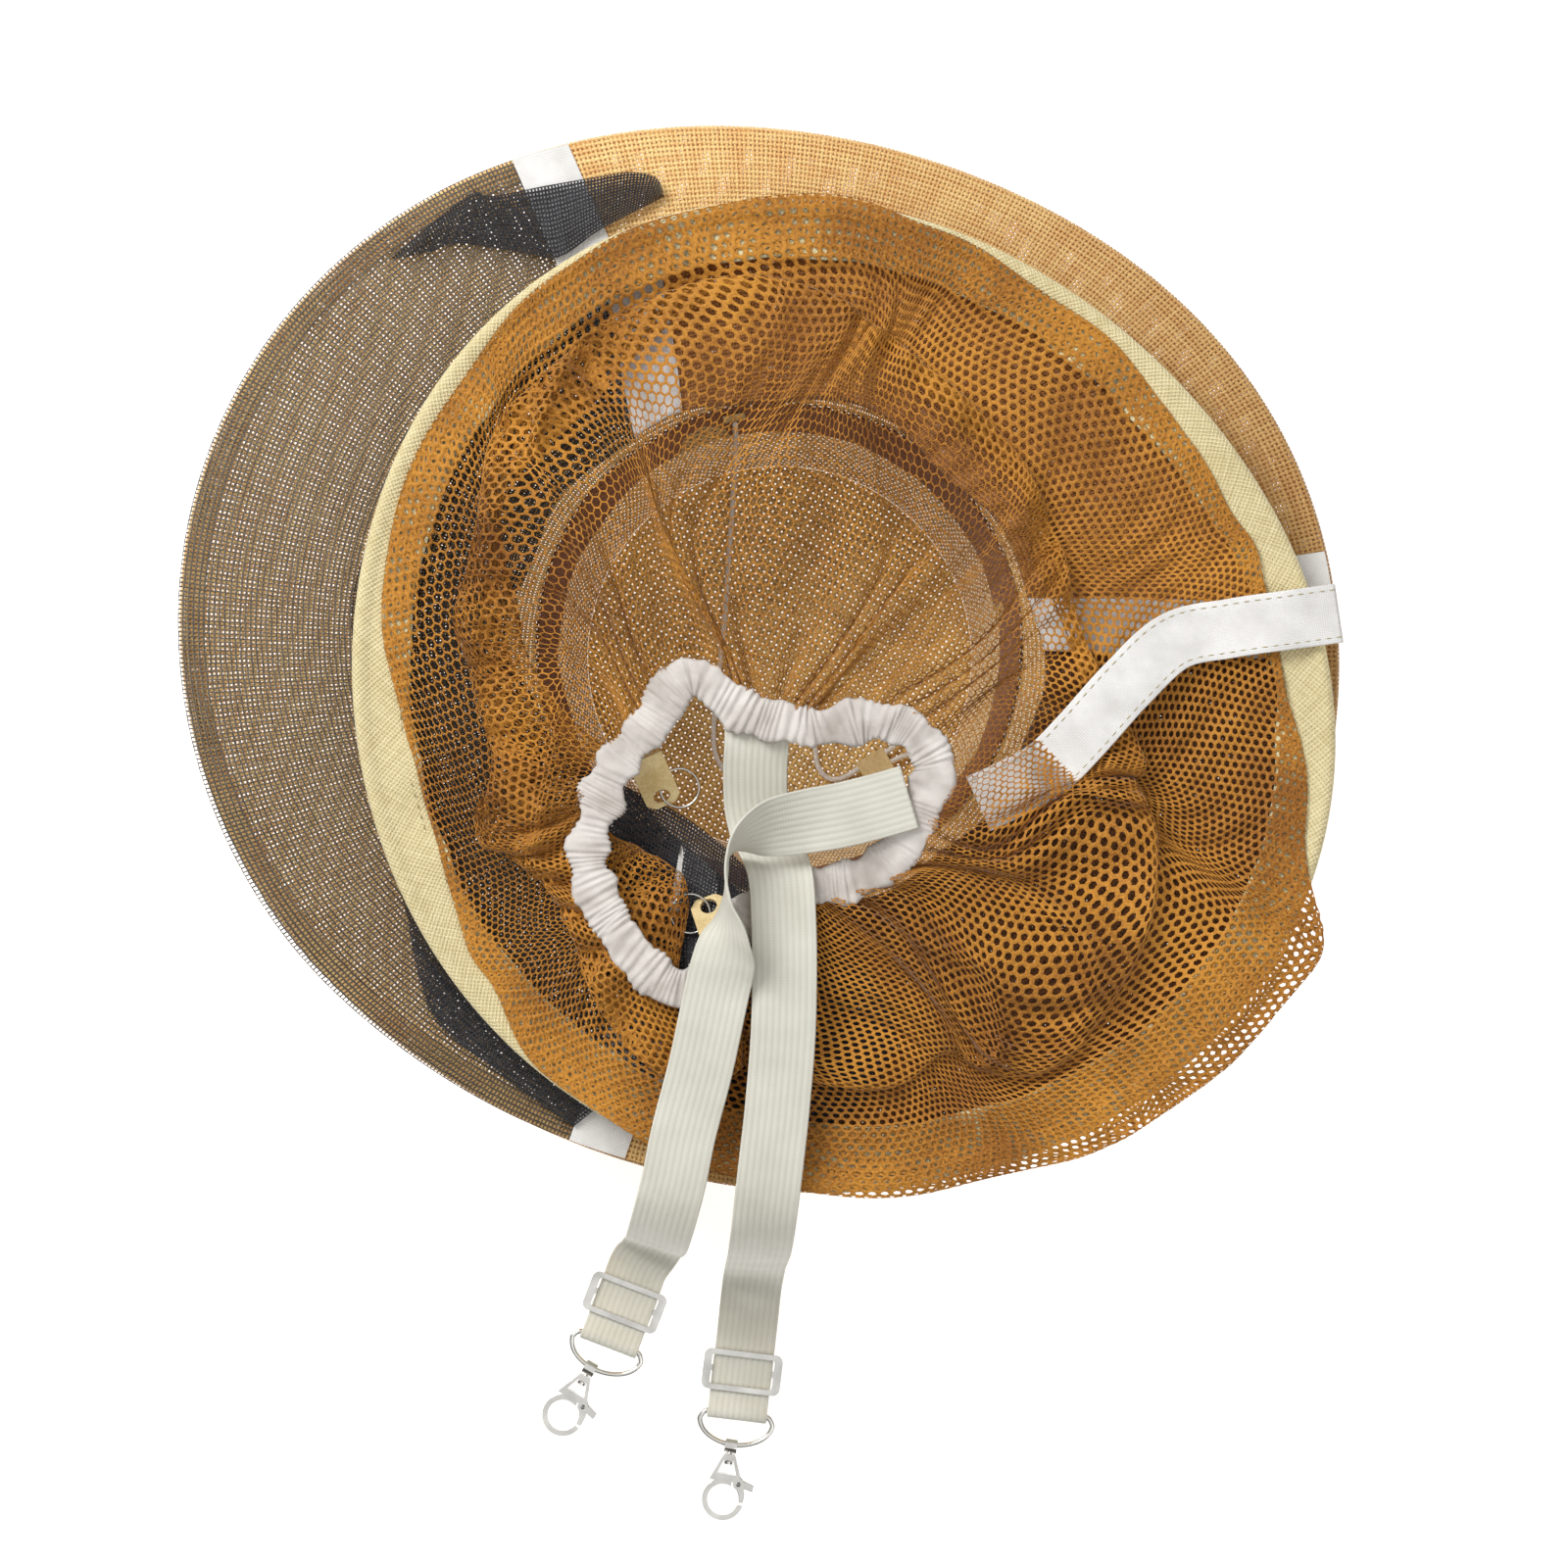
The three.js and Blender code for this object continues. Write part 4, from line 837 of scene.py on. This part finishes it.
def make_collar():
    count, around = 901, 29
    line, outward = collar_frame(count)
    angle = np.linspace(0, TURN, count)[:, None]
    section = smooth_line([(8, 0), (6.6, 1.3), (2.5, 1.9), (-2.5, 1.9), (-6.6, 1.3), (-8, 0), (-6.6, -1.3),
                           (-2.5, -1.9), (2.5, -1.9), (6.6, -1.3)], around, closed=True) * MM
    across, up = section[None, :, 0], section[None, :, 1]
    side = across / COLLAR_HALF
    strong = 0.55 + 0.45 * Waves(45, (6, 20), (0, 1))(angle)
    gather = np.sin(70 * angle + 5.5 * Waves(41, (5, 19), (0, 1))(angle) + 1.1 * side)
    small = np.sin(118 * angle + 6.0 * Waves(42, (7, 24), (0, 1))(angle) - 1.6 * side)
    width = 1 + 0.10 * Waves(43, (9, 34), (0, 1))(angle) + 0.05 * gather
    lip = 0.5 + 0.5 * np.abs(side)
    ridge = 0.00075 * gather * strong * lip + 0.00045 * small * (1 - 0.4 * strong)
    height = up + ridge * np.sign(up) * step(0.0, 0.0012, np.abs(up))
    roll = 0.0012 * Waves(44, (3, 9), (0, 1))(angle)
    reach = across * width + roll
    points = np.empty((count, around, 3))
    points[..., :2] = line[:, None, :] + outward[:, None, :] * reach[..., None]
    points[..., 2] = COLLAR_Z + 0.0006 + height + 0.06 * roll
    run = np.linspace(0, 0.032, around)[None, :]
    collar = grid_piece("collar_cotton", points, WHITE, (angle * COLLAR_MEAN_RADIUS, run), (True, True))
    attach(collar, "neck", "white_cloth", "collar_casing", "collar_elastic")


# ---- neck net ----
BAND_INNER = HOOP_WIRE_RING - 0.0192
# Millimetres by degrees round the hoop: how far the net rolls out over the band, where it turns
# back again inside the band, and how deep the fold below it reaches.
ROLL = [(0, 5), (8, 6), (15, 8), (20, 13), (25, 8.5), (30, 11), (37, 12.5), (45, 14.5), (52, 18),
        (60, 19.5), (70, 21), (78, 22.5), (85, 23.5), (92, 26), (100, 27), (106, 24.5), (112, 22.5),
        (120, 21.5), (128, 23), (138, 23), (150, 21.5), (158, 19.5), (165, 15.5), (170, 14.5), (175, 12),
        (180, 7.5), (185, 5), (190, 2.5), (200, 3), (207, 6), (211, 8), (215, 13), (220, 12), (226, 18),
        (232, 22), (240, 23), (252, 24), (260, 27), (270, 29.5), (286, 34.5), (301, 40), (316, 37.5),
        (323, 39), (329, 42), (333, 33), (337, 23), (341, 17), (346, 16), (351, 12.5), (356, 8)]
TURN_OUT = [(0, 60), (15, 62), (30, 56), (42, 48), (60, 36), (80, 22), (95, 12), (105, 8), (115, 2),
            (126, 2), (140, 18), (158, 27), (180, 28), (197, 26), (218, 20), (233, 10), (243, 5), (255, 12),
            (270, 14), (300, 20), (330, 30), (345, 45)]
FOLD_DEPTH = [(0, 12), (30, 13), (60, 12), (90, 10), (105, 12), (114, 16), (129, 34), (146, 36), (167, 40),
              (180, 42), (197, 44), (215, 48), (238, 40), (250, 16), (262, 4), (300, 3), (330, 4), (345, 8)]
# How single the net lies in the strip beside the band.
SINGLE_STRIP = [(130, 0), (158, 0.8), (215, 0.8), (238, 0), (300, 0)]
# The net's large folds and valleys: a line, its height and the width of its gentle side.
NET_FOLDS = [
    ([(-40, 158), (-74, 122), (-94, 81), (-89, 58), (-74, 35), (-59, 5)], 7, 7),
    ([(-94, 81), (-113, 43), (-120, -18), (-117, -75), (-100, -134), (-74, -164)], 5, 8),
    ([(-78, 35), (-84, -18), (-90, -56), (-97, -94), (-89, -131)], 4, 6),
    ([(129, 118), (123, 77), (106, 50), (85, 35)], -6, 12),
    ([(140, 108), (138, 70), (122, 40), (104, 12)], 6, 12),
    ([(-2, 166), (2, 134), (-10, 103)], 5, 11),
    ([(47, 160), (51, 122), (40, 96)], 5, 12),
    ([(86, 142), (84, 110), (70, 84)], 4, 10),
    ([(78, -56), (116, -59), (145, -67), (169, -86), (188, -101)], 7, 9),
    ([(145, -67), (150, -112), (146, -154)], 6, 16),
    ([(51, -116), (78, -131), (82, -162), (51, -181), (9, -198)], 8, 8),
    ([(62, -75), (95, -98), (116, -116), (120, -140), (108, -166)], 6, 12),
    ([(170, -20), (166, -60), (172, -84)], 4, 9),
]
# The seam tape lies on the net, and near its end it goes down under it.
TAPE_ROUTE = [(217, 10, 131.4), (196, 7, 132.0), (175, 4, 133.0), (153, -1, 134.5), (134, -18, 136.5),
              (116, -38, 137.5), (104, -50, 133), (90, -58, 131), (77, -64, 133)]
TAPE_DIVES = 0.110
# The net's heights from the band in: its rolled edge, the turn below it, the fold and the collar.
NET_Z = (0.1274, 0.1290, 0.1262, 0.1262, 0.1320, 0.1350, 0.1392)
# What the net lies on: the curtain's height, then how far it rises from one radius of the hoop to
# the next, up on the band, over its wire and down past it.
BED_Z = 0.1228
BED_STEPS = [(0.0060, BAND_INNER - 0.006, BAND_INNER - 0.0005),
             (0.0014, HOOP_WIRE_RING - 0.006, HOOP_WIRE_RING - 0.002),
             (-0.0045, HOOP_WIRE_RING + 0.003, HOOP_WIRE_RING + 0.012)]
MOUTH_SAG = 0.0060
NET_AROUND = 720
NET_DOWN = 221


def piecewise(s, knots, values):
    """Straight-line interpolation where every column has its own knots."""
    result = np.broadcast_to(values[0], np.broadcast_shapes(s.shape, knots[0].shape)).copy()
    for k in range(1, len(knots)):
        share = np.clip((s - knots[k - 1]) / np.maximum(knots[k] - knots[k - 1], 1e-6), 0, 1)
        result += (values[k] - values[k - 1]) * share
    return result


def blur_down(grid, radius):
    """Softens the grid's corners along its second axis, and keeps its two edges in place."""
    reach = int(3 * radius)
    kernel = np.exp(-0.5 * (np.arange(-reach, reach + 1) / radius) ** 2)
    kernel /= kernel.sum()
    first, last = grid[:, :1], grid[:, -1:]
    before, after = 2 * first - grid[:, reach:0:-1], 2 * last - grid[:, -2:-reach - 2:-1]
    padded = np.concatenate([before, grid, after], axis=1)
    return sum(weight * padded[:, k:k + grid.shape[1]] for k, weight in enumerate(kernel))


def collar_partner(angle):
    """The collar point that faces each angle round the hoop, on a ray from the neck's centre."""
    neck, hoop = np.array(NECK_CENTRE), np.array(HOOP_CENTRE)
    line, outward = collar_frame(1441)
    line, outward = line[:-1], outward[:-1]
    ray = line - neck
    ray /= np.linalg.norm(ray, axis=1)[:, None]
    offset = neck - hoop
    half = ray @ offset
    reach = -half + np.sqrt(half ** 2 - offset @ offset + BAND_INNER ** 2)
    meet = neck + ray * reach[:, None] - hoop
    around = np.arctan2(meet[:, 1], meet[:, 0]) % TURN
    order = np.argsort(around)
    edge = line + 0.004 * outward
    return np.stack([np.interp(angle % TURN, around[order], edge[order, k], period=TURN)
                     for k in (0, 1)], axis=1)


def net_ceiling(points):
    """How high the net may come at each place, so that it stays under the straps and the tape."""
    ceiling = np.full(points.shape[:-1], 1.0)
    lines = []
    for strap in STRAPS.values():
        over_net = [(x * MM, y * MM, z * MM) for x, y, z, *_ in strap["route"] if y < -95 and z > 130]
        lines.append((smooth_line(over_net, 60), 0.0024))
    tape = smooth_line(np.array(TAPE_ROUTE) * MM, 120)
    lines.append((tape[tape[:, 0] > TAPE_DIVES], 0.0014))
    for line, gap in lines:
        for x, y, z in line:
            away = np.hypot(points[..., 0] - x, points[..., 1] - y)
            ceiling = np.minimum(ceiling, z - gap + 0.03 * step(0.013, 0.03, away))
    return ceiling


def net_surface():
    """The net as a grid: rolled out over the band, folded back, then drawn up to the collar."""
    angle = np.linspace(0, TURN, NET_AROUND, endpoint=False)
    s = np.linspace(0, NET_LENGTH, NET_DOWN)[None, :]
    start = hoop_point(BAND_INNER, angle, HOOP_Z)[:, :2]
    end = collar_partner(angle)
    span = np.linalg.norm(end - start, axis=1)[:, None]
    inward = (end - start) / span
    a = angle[:, None]

    roll = by_angle(ROLL, a, 2) * MM * (1 + 0.03 * Waves(51, (5, 18), (0, 1))(a))
    outer = by_angle(TURN_OUT, a, 5) * MM + 0.004 * Waves(52, (4, 13), (0, 1))(a)
    inner = outer + by_angle(FOLD_DEPTH, a, 5) * MM * (1 + 0.12 * Waves(53, (4, 15), (0, 1))(a))
    # Lengths along the net at which it turns, stretched to reach the collar with its whole length.
    zero = np.zeros_like(roll)
    turn_in = 2 * roll + inner
    turn_out = turn_in + inner - outer
    knots = [zero, roll, turn_in, turn_out, turn_out + np.maximum(span - outer, 0.02)]
    stretch = NET_LENGTH / knots[-1]
    knots = [knot * stretch for knot in knots]
    x = piecewise(s, knots, [zero, -roll, inner, outer, span])
    z = piecewise(s, [knots[0], knots[1], (knots[1] + knots[2]) / 2, knots[2], knots[3],
                      (knots[3] + knots[4]) / 2, knots[4]], [zero + height for height in NET_Z])
    x, z = blur_down(x, 3.0), blur_down(z, 3.5)

    # Broad billows, slanting folds with steep sides, gathers towards the collar and small creases.
    down = s / NET_LENGTH
    free = np.sin(math.pi * np.clip(down, 0, 1)) ** 0.8
    top_layer = step(knots[2] - 0.010, knots[3] + 0.012, s)
    slant = 0.012 * Waves(54, (3, 9), (4, 10))(a, down) * free
    billow = 0.0030 * np.tanh(1.5 * Waves(58, (3, 9), (4, 9), 8)(a, down))
    fold = 0.0026 * np.tanh(1.9 * Waves(55, (9, 24), (5, 12), 10)(a, down))
    gather = step(0.40, 0.97, down)
    phase = 34 * a + 2.6 * Waves(56, (3, 11), (1, 3))(a, down)
    pleat = np.sin(phase) * gather * (0.0036 * step(1.0, 0.95, down) + 0.0006)
    crease = 0.0007 * Waves(57, (30, 80), (15, 40), 14)(a, down) * free
    relief = (billow + fold) * free * (0.25 + 0.75 * top_layer)
    sideways = np.stack([-inward[:, 1], inward[:, 0]], axis=1)
    shift = slant + 0.0024 * np.cos(phase) * gather * free
    points = np.empty((NET_AROUND, NET_DOWN, 3))
    points[..., :2] = start[:, None] + inward[:, None] * x[..., None] + sideways[:, None] * shift[..., None]
    points[..., 2] = z + relief + pleat + crease
    for line, height, width in NET_FOLDS:
        add_fold(points, np.array(line) * MM, height * MM, width * MM, top_layer)
    return lay_on_bed(points)


def add_fold(points, line, height, width, share):
    """Raises a fold of the net along a line, or sinks a valley, and gathers the cells into it."""
    line = smooth_line(line, 40)
    away = points[:, :, None, :2] - line
    distance = np.linalg.norm(away, axis=-1)
    nearest = distance.argmin(axis=-1)
    offset = np.take_along_axis(away, nearest[..., None, None], axis=2)[:, :, 0]
    distance = distance.min(axis=-1)
    along = np.gradient(line, axis=0)[nearest]
    side = along[..., 0] * offset[..., 1] - along[..., 1] * offset[..., 0]
    # One side of a fold falls off steeply.
    reach = np.where(side > 0, width, 0.45 * width)
    fade = np.sin(math.pi * (0.04 + 0.92 * nearest / 39)) ** 0.5 * share
    points[..., 2] += height * np.exp(-(distance / reach) ** 2) * fade
    pull = 0.45 * np.exp(-(distance / (1.4 * width)) ** 2) * fade * (height > 0)
    points[..., :2] -= offset * pull[..., None]


def net_bed(points):
    """Height of what the net lies on: curtain, band, then air. Over the crown's mouth it may sag."""
    away = hoop_radius(points)
    mouth = np.hypot(points[..., 0] - FOLD_CENTRE[0], points[..., 1] - FOLD_CENTRE[1])
    bed = BED_Z
    for rise, start, end in BED_STEPS:
        bed = bed + rise * step(start, end, away)
    return bed - MOUTH_SAG * step(0.100, 0.085, mouth)


def lay_on_bed(points):
    """Pushes the net up out of what it lies on, and down from under the straps."""
    rest = net_bed(points) + 0.0030 * np.linspace(0, 1, NET_DOWN)[None, :]
    points[..., 2] = rest + np.log1p(np.exp((points[..., 2] - rest) * 1800)) / 1800
    points[..., 2] = np.minimum(points[..., 2], net_ceiling(points))
    return points


def sample(grid, u, v):
    """The net's surface at u, a share of the ring, and v, a share of its length."""
    rows, cols = grid.shape[:2]
    i = (u % 1.0) * rows
    j = np.clip(v, 0, 1) * (cols - 1)
    i0, j0 = np.floor(i).astype(int) % rows, np.minimum(np.floor(j).astype(int), cols - 2)
    fi, fj = (i - np.floor(i))[..., None], (j - j0)[..., None]
    i1, j1 = (i0 + 1) % rows, j0 + 1
    return ((grid[i0, j0] * (1 - fj) + grid[i0, j1] * fj) * (1 - fi)
            + (grid[i1, j0] * (1 - fj) + grid[i1, j1] * fj) * fi)


def surface_normals(grid):
    """Unit normals of a grid that closes along its first axis."""
    along = np.roll(grid, -1, axis=0) - np.roll(grid, 1, axis=0)
    down = np.gradient(grid, axis=1)
    normal = np.cross(along, down)
    normal /= np.maximum(np.linalg.norm(normal, axis=-1, keepdims=True), 1e-12)
    return normal


def hexagon_net(name, grid, normals, columns, first, last, rows):
    """Honeycomb cells between two columns: each a raised hexagonal frame round an open hole."""
    row_step = 1.0 / rows
    zigzag = row_step / 6
    j = np.arange(2 * first, 2 * last + 2)
    i = np.arange(rows + 1)[:, None]
    u = np.broadcast_to(j / (2 * columns), (rows + 1, len(j)))
    up = np.where((i + j) % 2 == 0, zigzag, -zigzag)
    v = np.clip(i * row_step + up, 0, 1)
    outer_uv = np.stack([u, v], axis=-1)

    r, c = np.meshgrid(np.arange(rows), np.arange(first, last), indexing="ij")
    left = 2 * c + r % 2 - 2 * first
    keep = left + 2 < len(j)
    r, left = r[keep], left[keep]
    ring = [(r, left), (r, left + 1), (r, left + 2), (r + 1, left + 2), (r + 1, left + 1), (r + 1, left)]
    width = len(j)
    outer_index = np.stack([a * width + b for a, b in ring], axis=1)
    corner_uv = outer_uv.reshape(-1, 2)[outer_index]
    middle = corner_uv.mean(axis=1, keepdims=True)
    # Over the crown's mouth the net hangs in a single slack layer with wide cells, and so it does
    # in a strip beside the band.
    spot = sample(grid, middle[:, 0, 0], middle[:, 0, 1])
    over_mouth = step(0.122, 0.094, np.hypot(spot[:, 0], spot[:, 1]))
    inside = BAND_INNER - hoop_radius(spot)
    around = np.arctan2(spot[:, 1] - HOOP_CENTRE[1], spot[:, 0] - HOOP_CENTRE[0])
    strip_share = by_angle(SINGLE_STRIP, around) * step(-0.001, 0.004, inside) * step(0.034, 0.024, inside)
    slack = np.maximum(over_mouth, strip_share)[:, None, None]
    drawn, hanging = NET_OPEN
    inner_uv = middle + (corner_uv - middle) * (drawn + (hanging - drawn) * slack)

    def place(uv, lift):
        flat = uv.reshape(-1, 2)
        return sample(grid, flat[:, 0], flat[:, 1]) + lift * sample(normals, flat[:, 0], flat[:, 1])

    outer = place(outer_uv, 0.00030)
    inner = place(inner_uv, -0.00015)
    count = len(outer)
    inner_index = count + np.arange(len(inner)).reshape(-1, 6)
    quads = [np.stack([outer_index[:, k], outer_index[:, (k + 1) % 6],
                       inner_index[:, (k + 1) % 6], inner_index[:, k]], axis=1) for k in range(6)]
    return mesh_piece(name, np.vstack([outer, inner]), np.concatenate(quads), NET)


def make_net():
    grid = net_surface()
    normals = surface_normals(grid)
    columns = 2 * round(TURN * BAND_INNER / NET_PITCH / 2)
    rows = round(NET_LENGTH / (NET_PITCH * math.sqrt(0.75)))
    halves = (("neck_net_mesh", 0, columns // 2), ("neck_net_mesh_far", columns // 2, columns))
    for name, first, last in halves:
        piece = hexagon_net(name, grid, normals, columns, first, last, rows)
        attach(piece, None, "netting", "neck_net")
        blend_neck(piece)


def blend_neck(piece):
    """Bakes a piece of the neck's placement into its mesh."""
    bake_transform(piece)


# ---- seam tape, tabs, straps ----
def flat_section(width, thickness, count=3):
    """A thin rounded rectangle, as a closed loop of (across, up)."""
    w, t = width / 2, thickness / 2
    inner = np.linspace(-1, 1, count + 2)[1:-1] * (w - t)
    top = [(x, t) for x in inner[::-1]]
    bottom = [(x, -t) for x in inner]
    corner = t * 0.7
    left = [(-w + t, t), (-w + t - corner, corner), (-w, 0), (-w + t - corner, -corner), (-w + t, -t)]
    return ([(w, 0), (w - t + corner, corner), (w - t, t)] + top + left + bottom
            + [(w - t, -t), (w - t + corner, -corner)])


def make_seam_tape():
    line = smooth_line(np.array(TAPE_ROUTE) * MM, 120)
    along = np.gradient(line, axis=0)
    across = np.stack([-along[:, 1], along[:, 0], np.zeros(len(line))], axis=1)
    across /= np.linalg.norm(across, axis=1)[:, None]
    line[:, 2] += 0.0006 * Waves(61, (2, 6), (0, 1))(np.linspace(0, 3, len(line)))
    tape = strip("neck_seam_tape_cloth", np.hstack([line, across]), flat_section(TAPE_WIDTH, 0.0007, 9),
                 TAPE)
    blend_neck(tape)
    attach(tape, None, "white_cloth", "neck_seam_tape")
    for name, offset in (("a", -0.0092), ("b", 0.0092)):
        seam = line + offset * across + np.array([0, 0, 0.0005])
        row = stitches(f"seam_tape_stitches_{name}", CANVAS_THREAD, seam, radius=0.0002)
        blend_neck(row)
        attach(row, None, "white_cloth")


def strap_section():
    ribs = 10
    across = np.linspace(-1, 1, 4 * ribs + 1) * (STRAP_WIDTH / 2 - 0.0004)
    half = STRAP_THICKNESS / 2
    up = half * (0.90 + 0.10 * np.cos(across / STRAP_WIDTH * ribs * TURN))
    top = list(zip(across[::-1], up[::-1]))
    bottom = list(zip(across, -up))
    edge = STRAP_WIDTH / 2
    return [(edge, 0)] + top + [(-edge, 0)] + bottom


def make_straps():
    for name, strap in STRAPS.items():
        turn = math.radians(strap["heading"])
        side = math.copysign(1, strap["route"][-1][3])
        end = [(strap["bar"][0] - back * math.sin(turn), strap["bar"][1] + back * math.cos(turn), up,
                side * math.cos(turn), side * math.sin(turn), 0) for back, up in STRAP_END]
        stations = smooth_line(strap["route"] + end, 460)
        stations[:, :3] *= MM
        piece = strip(f"strap_{name}_elastic", stations, strap_section(), ELASTIC)
        attach(piece, "neck", "elastic", f"strap_{name}")


# ---- hardware ----
def polished(node, body, slot, material, bevel=0.00025):
    """A smooth copy of a CAD node: flat faces joined and its sharp edges rounded."""
    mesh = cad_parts[node].data.copy()
    mesh.name = f"{node}_smooth"
    bm = bmesh.new()
    bm.from_mesh(mesh)
    bmesh.ops.remove_doubles(bm, verts=bm.verts, dist=1e-6)
    bmesh.ops.dissolve_limit(bm, angle_limit=math.radians(2), verts=bm.verts, edges=bm.edges)
    bm.to_mesh(mesh)
    bm.free()
    piece = linked(mesh.name, mesh)
    paint(piece, material)
    rounded = piece.modifiers.new("rounded", "BEVEL")
    rounded.width = bevel
    rounded.segments = 2
    rounded.limit_method = "ANGLE"
    rounded.angle_limit = math.radians(35)
    bpy.context.view_layer.objects.active = piece
    bpy.ops.object.select_all(action="DESELECT")
    piece.select_set(True)
    bpy.ops.object.shade_smooth_by_angle(angle=math.radians(40))
    attach(piece, body, slot, node)


def paint(piece, material):
    piece.data.materials.clear()
    piece.data.materials.append(material)


def placed(points, bar, heading):
    """Points from a D-ring's own frame, in millimetres, to the shared frame."""
    turn = math.radians(heading)
    cos, sin = math.cos(turn), math.sin(turn)
    return [((bar[0] + x * cos - y * sin) * MM, (bar[1] + x * sin + y * cos) * MM, z * MM)
            for x, y, z in points]


def make_hardware():
    # A D-ring in millimetres: its straight bar, then its bow.
    bar = [(x, 0, 2.8) for x in np.linspace(-13.2, 13.2, 9)]
    bow = [(15.3 * math.cos(t), -3 - 9.9 * math.sin(t), 2.8) for t in np.linspace(0, math.pi, 25)]
    loop = smooth_line(bar + bow, 121, closed=True)[:-1]
    for name, strap in STRAPS.items():
        d_ring = wire(f"d_ring_{name}_wire", placed(loop, strap["bar"], strap["heading"]),
                      D_RING_WIRE, NICKEL, cyclic=True)
        attach(d_ring, f"d_ring_{name}", "nickel", f"d_ring_{name}")
        for node, body, bevel in (("triglide", "triglide", 0.0004), ("swivel_eye", "swivel", 0.00025),
                                  ("hook_body", "hook", 0.0005), ("hook_gate", "gate", 0.0003)):
            polished(f"{node}_{name}", f"{body}_{name}", "nickel", NICKEL, bevel)
        for node in ("gate_pin", "gate_spring"):
            polished(f"{node}_{name}", f"hook_{name}", "wire", STEEL, 0.0001)


def make_small_parts():
    for name in ("front", "side"):
        polished(f"ring_tab_{name}", "neck", "leather", LEATHER, 0.0004)
        low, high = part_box(f"split_ring_{name}")
        middle = (low + high) / 2
        radius = (high.x - low.x) / 2 - 0.0008
        turns = np.linspace(0, 2 * TURN, 97)
        rise = np.linspace(-0.0004, 0.0004, 97)
        points = [(middle.x + radius * math.cos(t), middle.y + radius * math.sin(t), middle.z + z)
                  for t, z in zip(turns, rise)]
        ring = wire(f"split_ring_{name}_wire", points, SPLIT_RING_WIRE, NICKEL)
        attach(ring, f"split_ring_{name}", "nickel", f"split_ring_{name}")
    for name in ("side_a", "side_b"):
        polished(f"cord_anchor_{name}", "hat", "leather", LEATHER, 0.0003)
    for node, material in (("cord_slider", LEATHER), ("brim_wire", STEEL), ("hoop_wire", STEEL)):
        paint(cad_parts[node], material)


# ---- studio ----
def make_studio():
    scene = bpy.context.scene
    scene.view_settings.view_transform = "Standard"
    scene.cycles.transparent_max_bounces = 24
    shader = Shader("pale_floor", roughness=0.9, specular=0.1)
    shader.set("Base Color", srgb(238, 238, 238))
    shader.set("Emission Color", (1, 1, 1, 1))
    shader.set("Emission Strength", 0.62)
    corners = [(x, y, -0.0003) for x, y in ((-6, -6), (6, -6), (6, 6), (-6, 6))]
    mesh_piece("floor", corners, [(0, 1, 2, 3)], shader.material)

    # Bright overhead and dim near the horizon, so that metal shows light and dark.
    scene.world = bpy.data.worlds.new("studio")
    scene.world.use_nodes = True
    tree = scene.world.node_tree
    place = tree.nodes.new("ShaderNodeTexCoord").outputs["Generated"]
    split = tree.nodes.new("ShaderNodeSeparateXYZ")
    tree.links.new(place, split.inputs[0])
    rise = tree.nodes.new("ShaderNodeMapRange")
    tree.links.new(split.outputs[2], rise.inputs[0])
    for socket, value in zip((1, 2, 3, 4), (0.5, 0.95, 0.10, 0.90)):
        rise.inputs[socket].default_value = value
    tree.links.new(rise.outputs[0], tree.nodes["Background"].inputs["Strength"])
    tree.nodes["Background"].inputs["Color"].default_value = (1, 1, 1, 1)
    for name, place, size, power in (("key", (-1.1, 1.1, 1.6), 1.0, 40),
                                     ("fill", (1.2, -0.9, 1.7), 1.6, 8)):
        data = bpy.data.lights.new(name, "AREA")
        data.size = size
        data.energy = power
        light = linked(name, data)
        light.location = place
        light.rotation_euler = Vector(place).to_track_quat("Z", "Y").to_euler()


make_camera()
make_cord()
make_studio()
make_crown_tip()
make_crown_side()
make_sweatband()
make_brim()
make_brim_binding()
make_curtain()
make_hoop()
make_net()
make_collar()
make_seam_tape()
make_straps()
make_hardware()
make_small_parts()
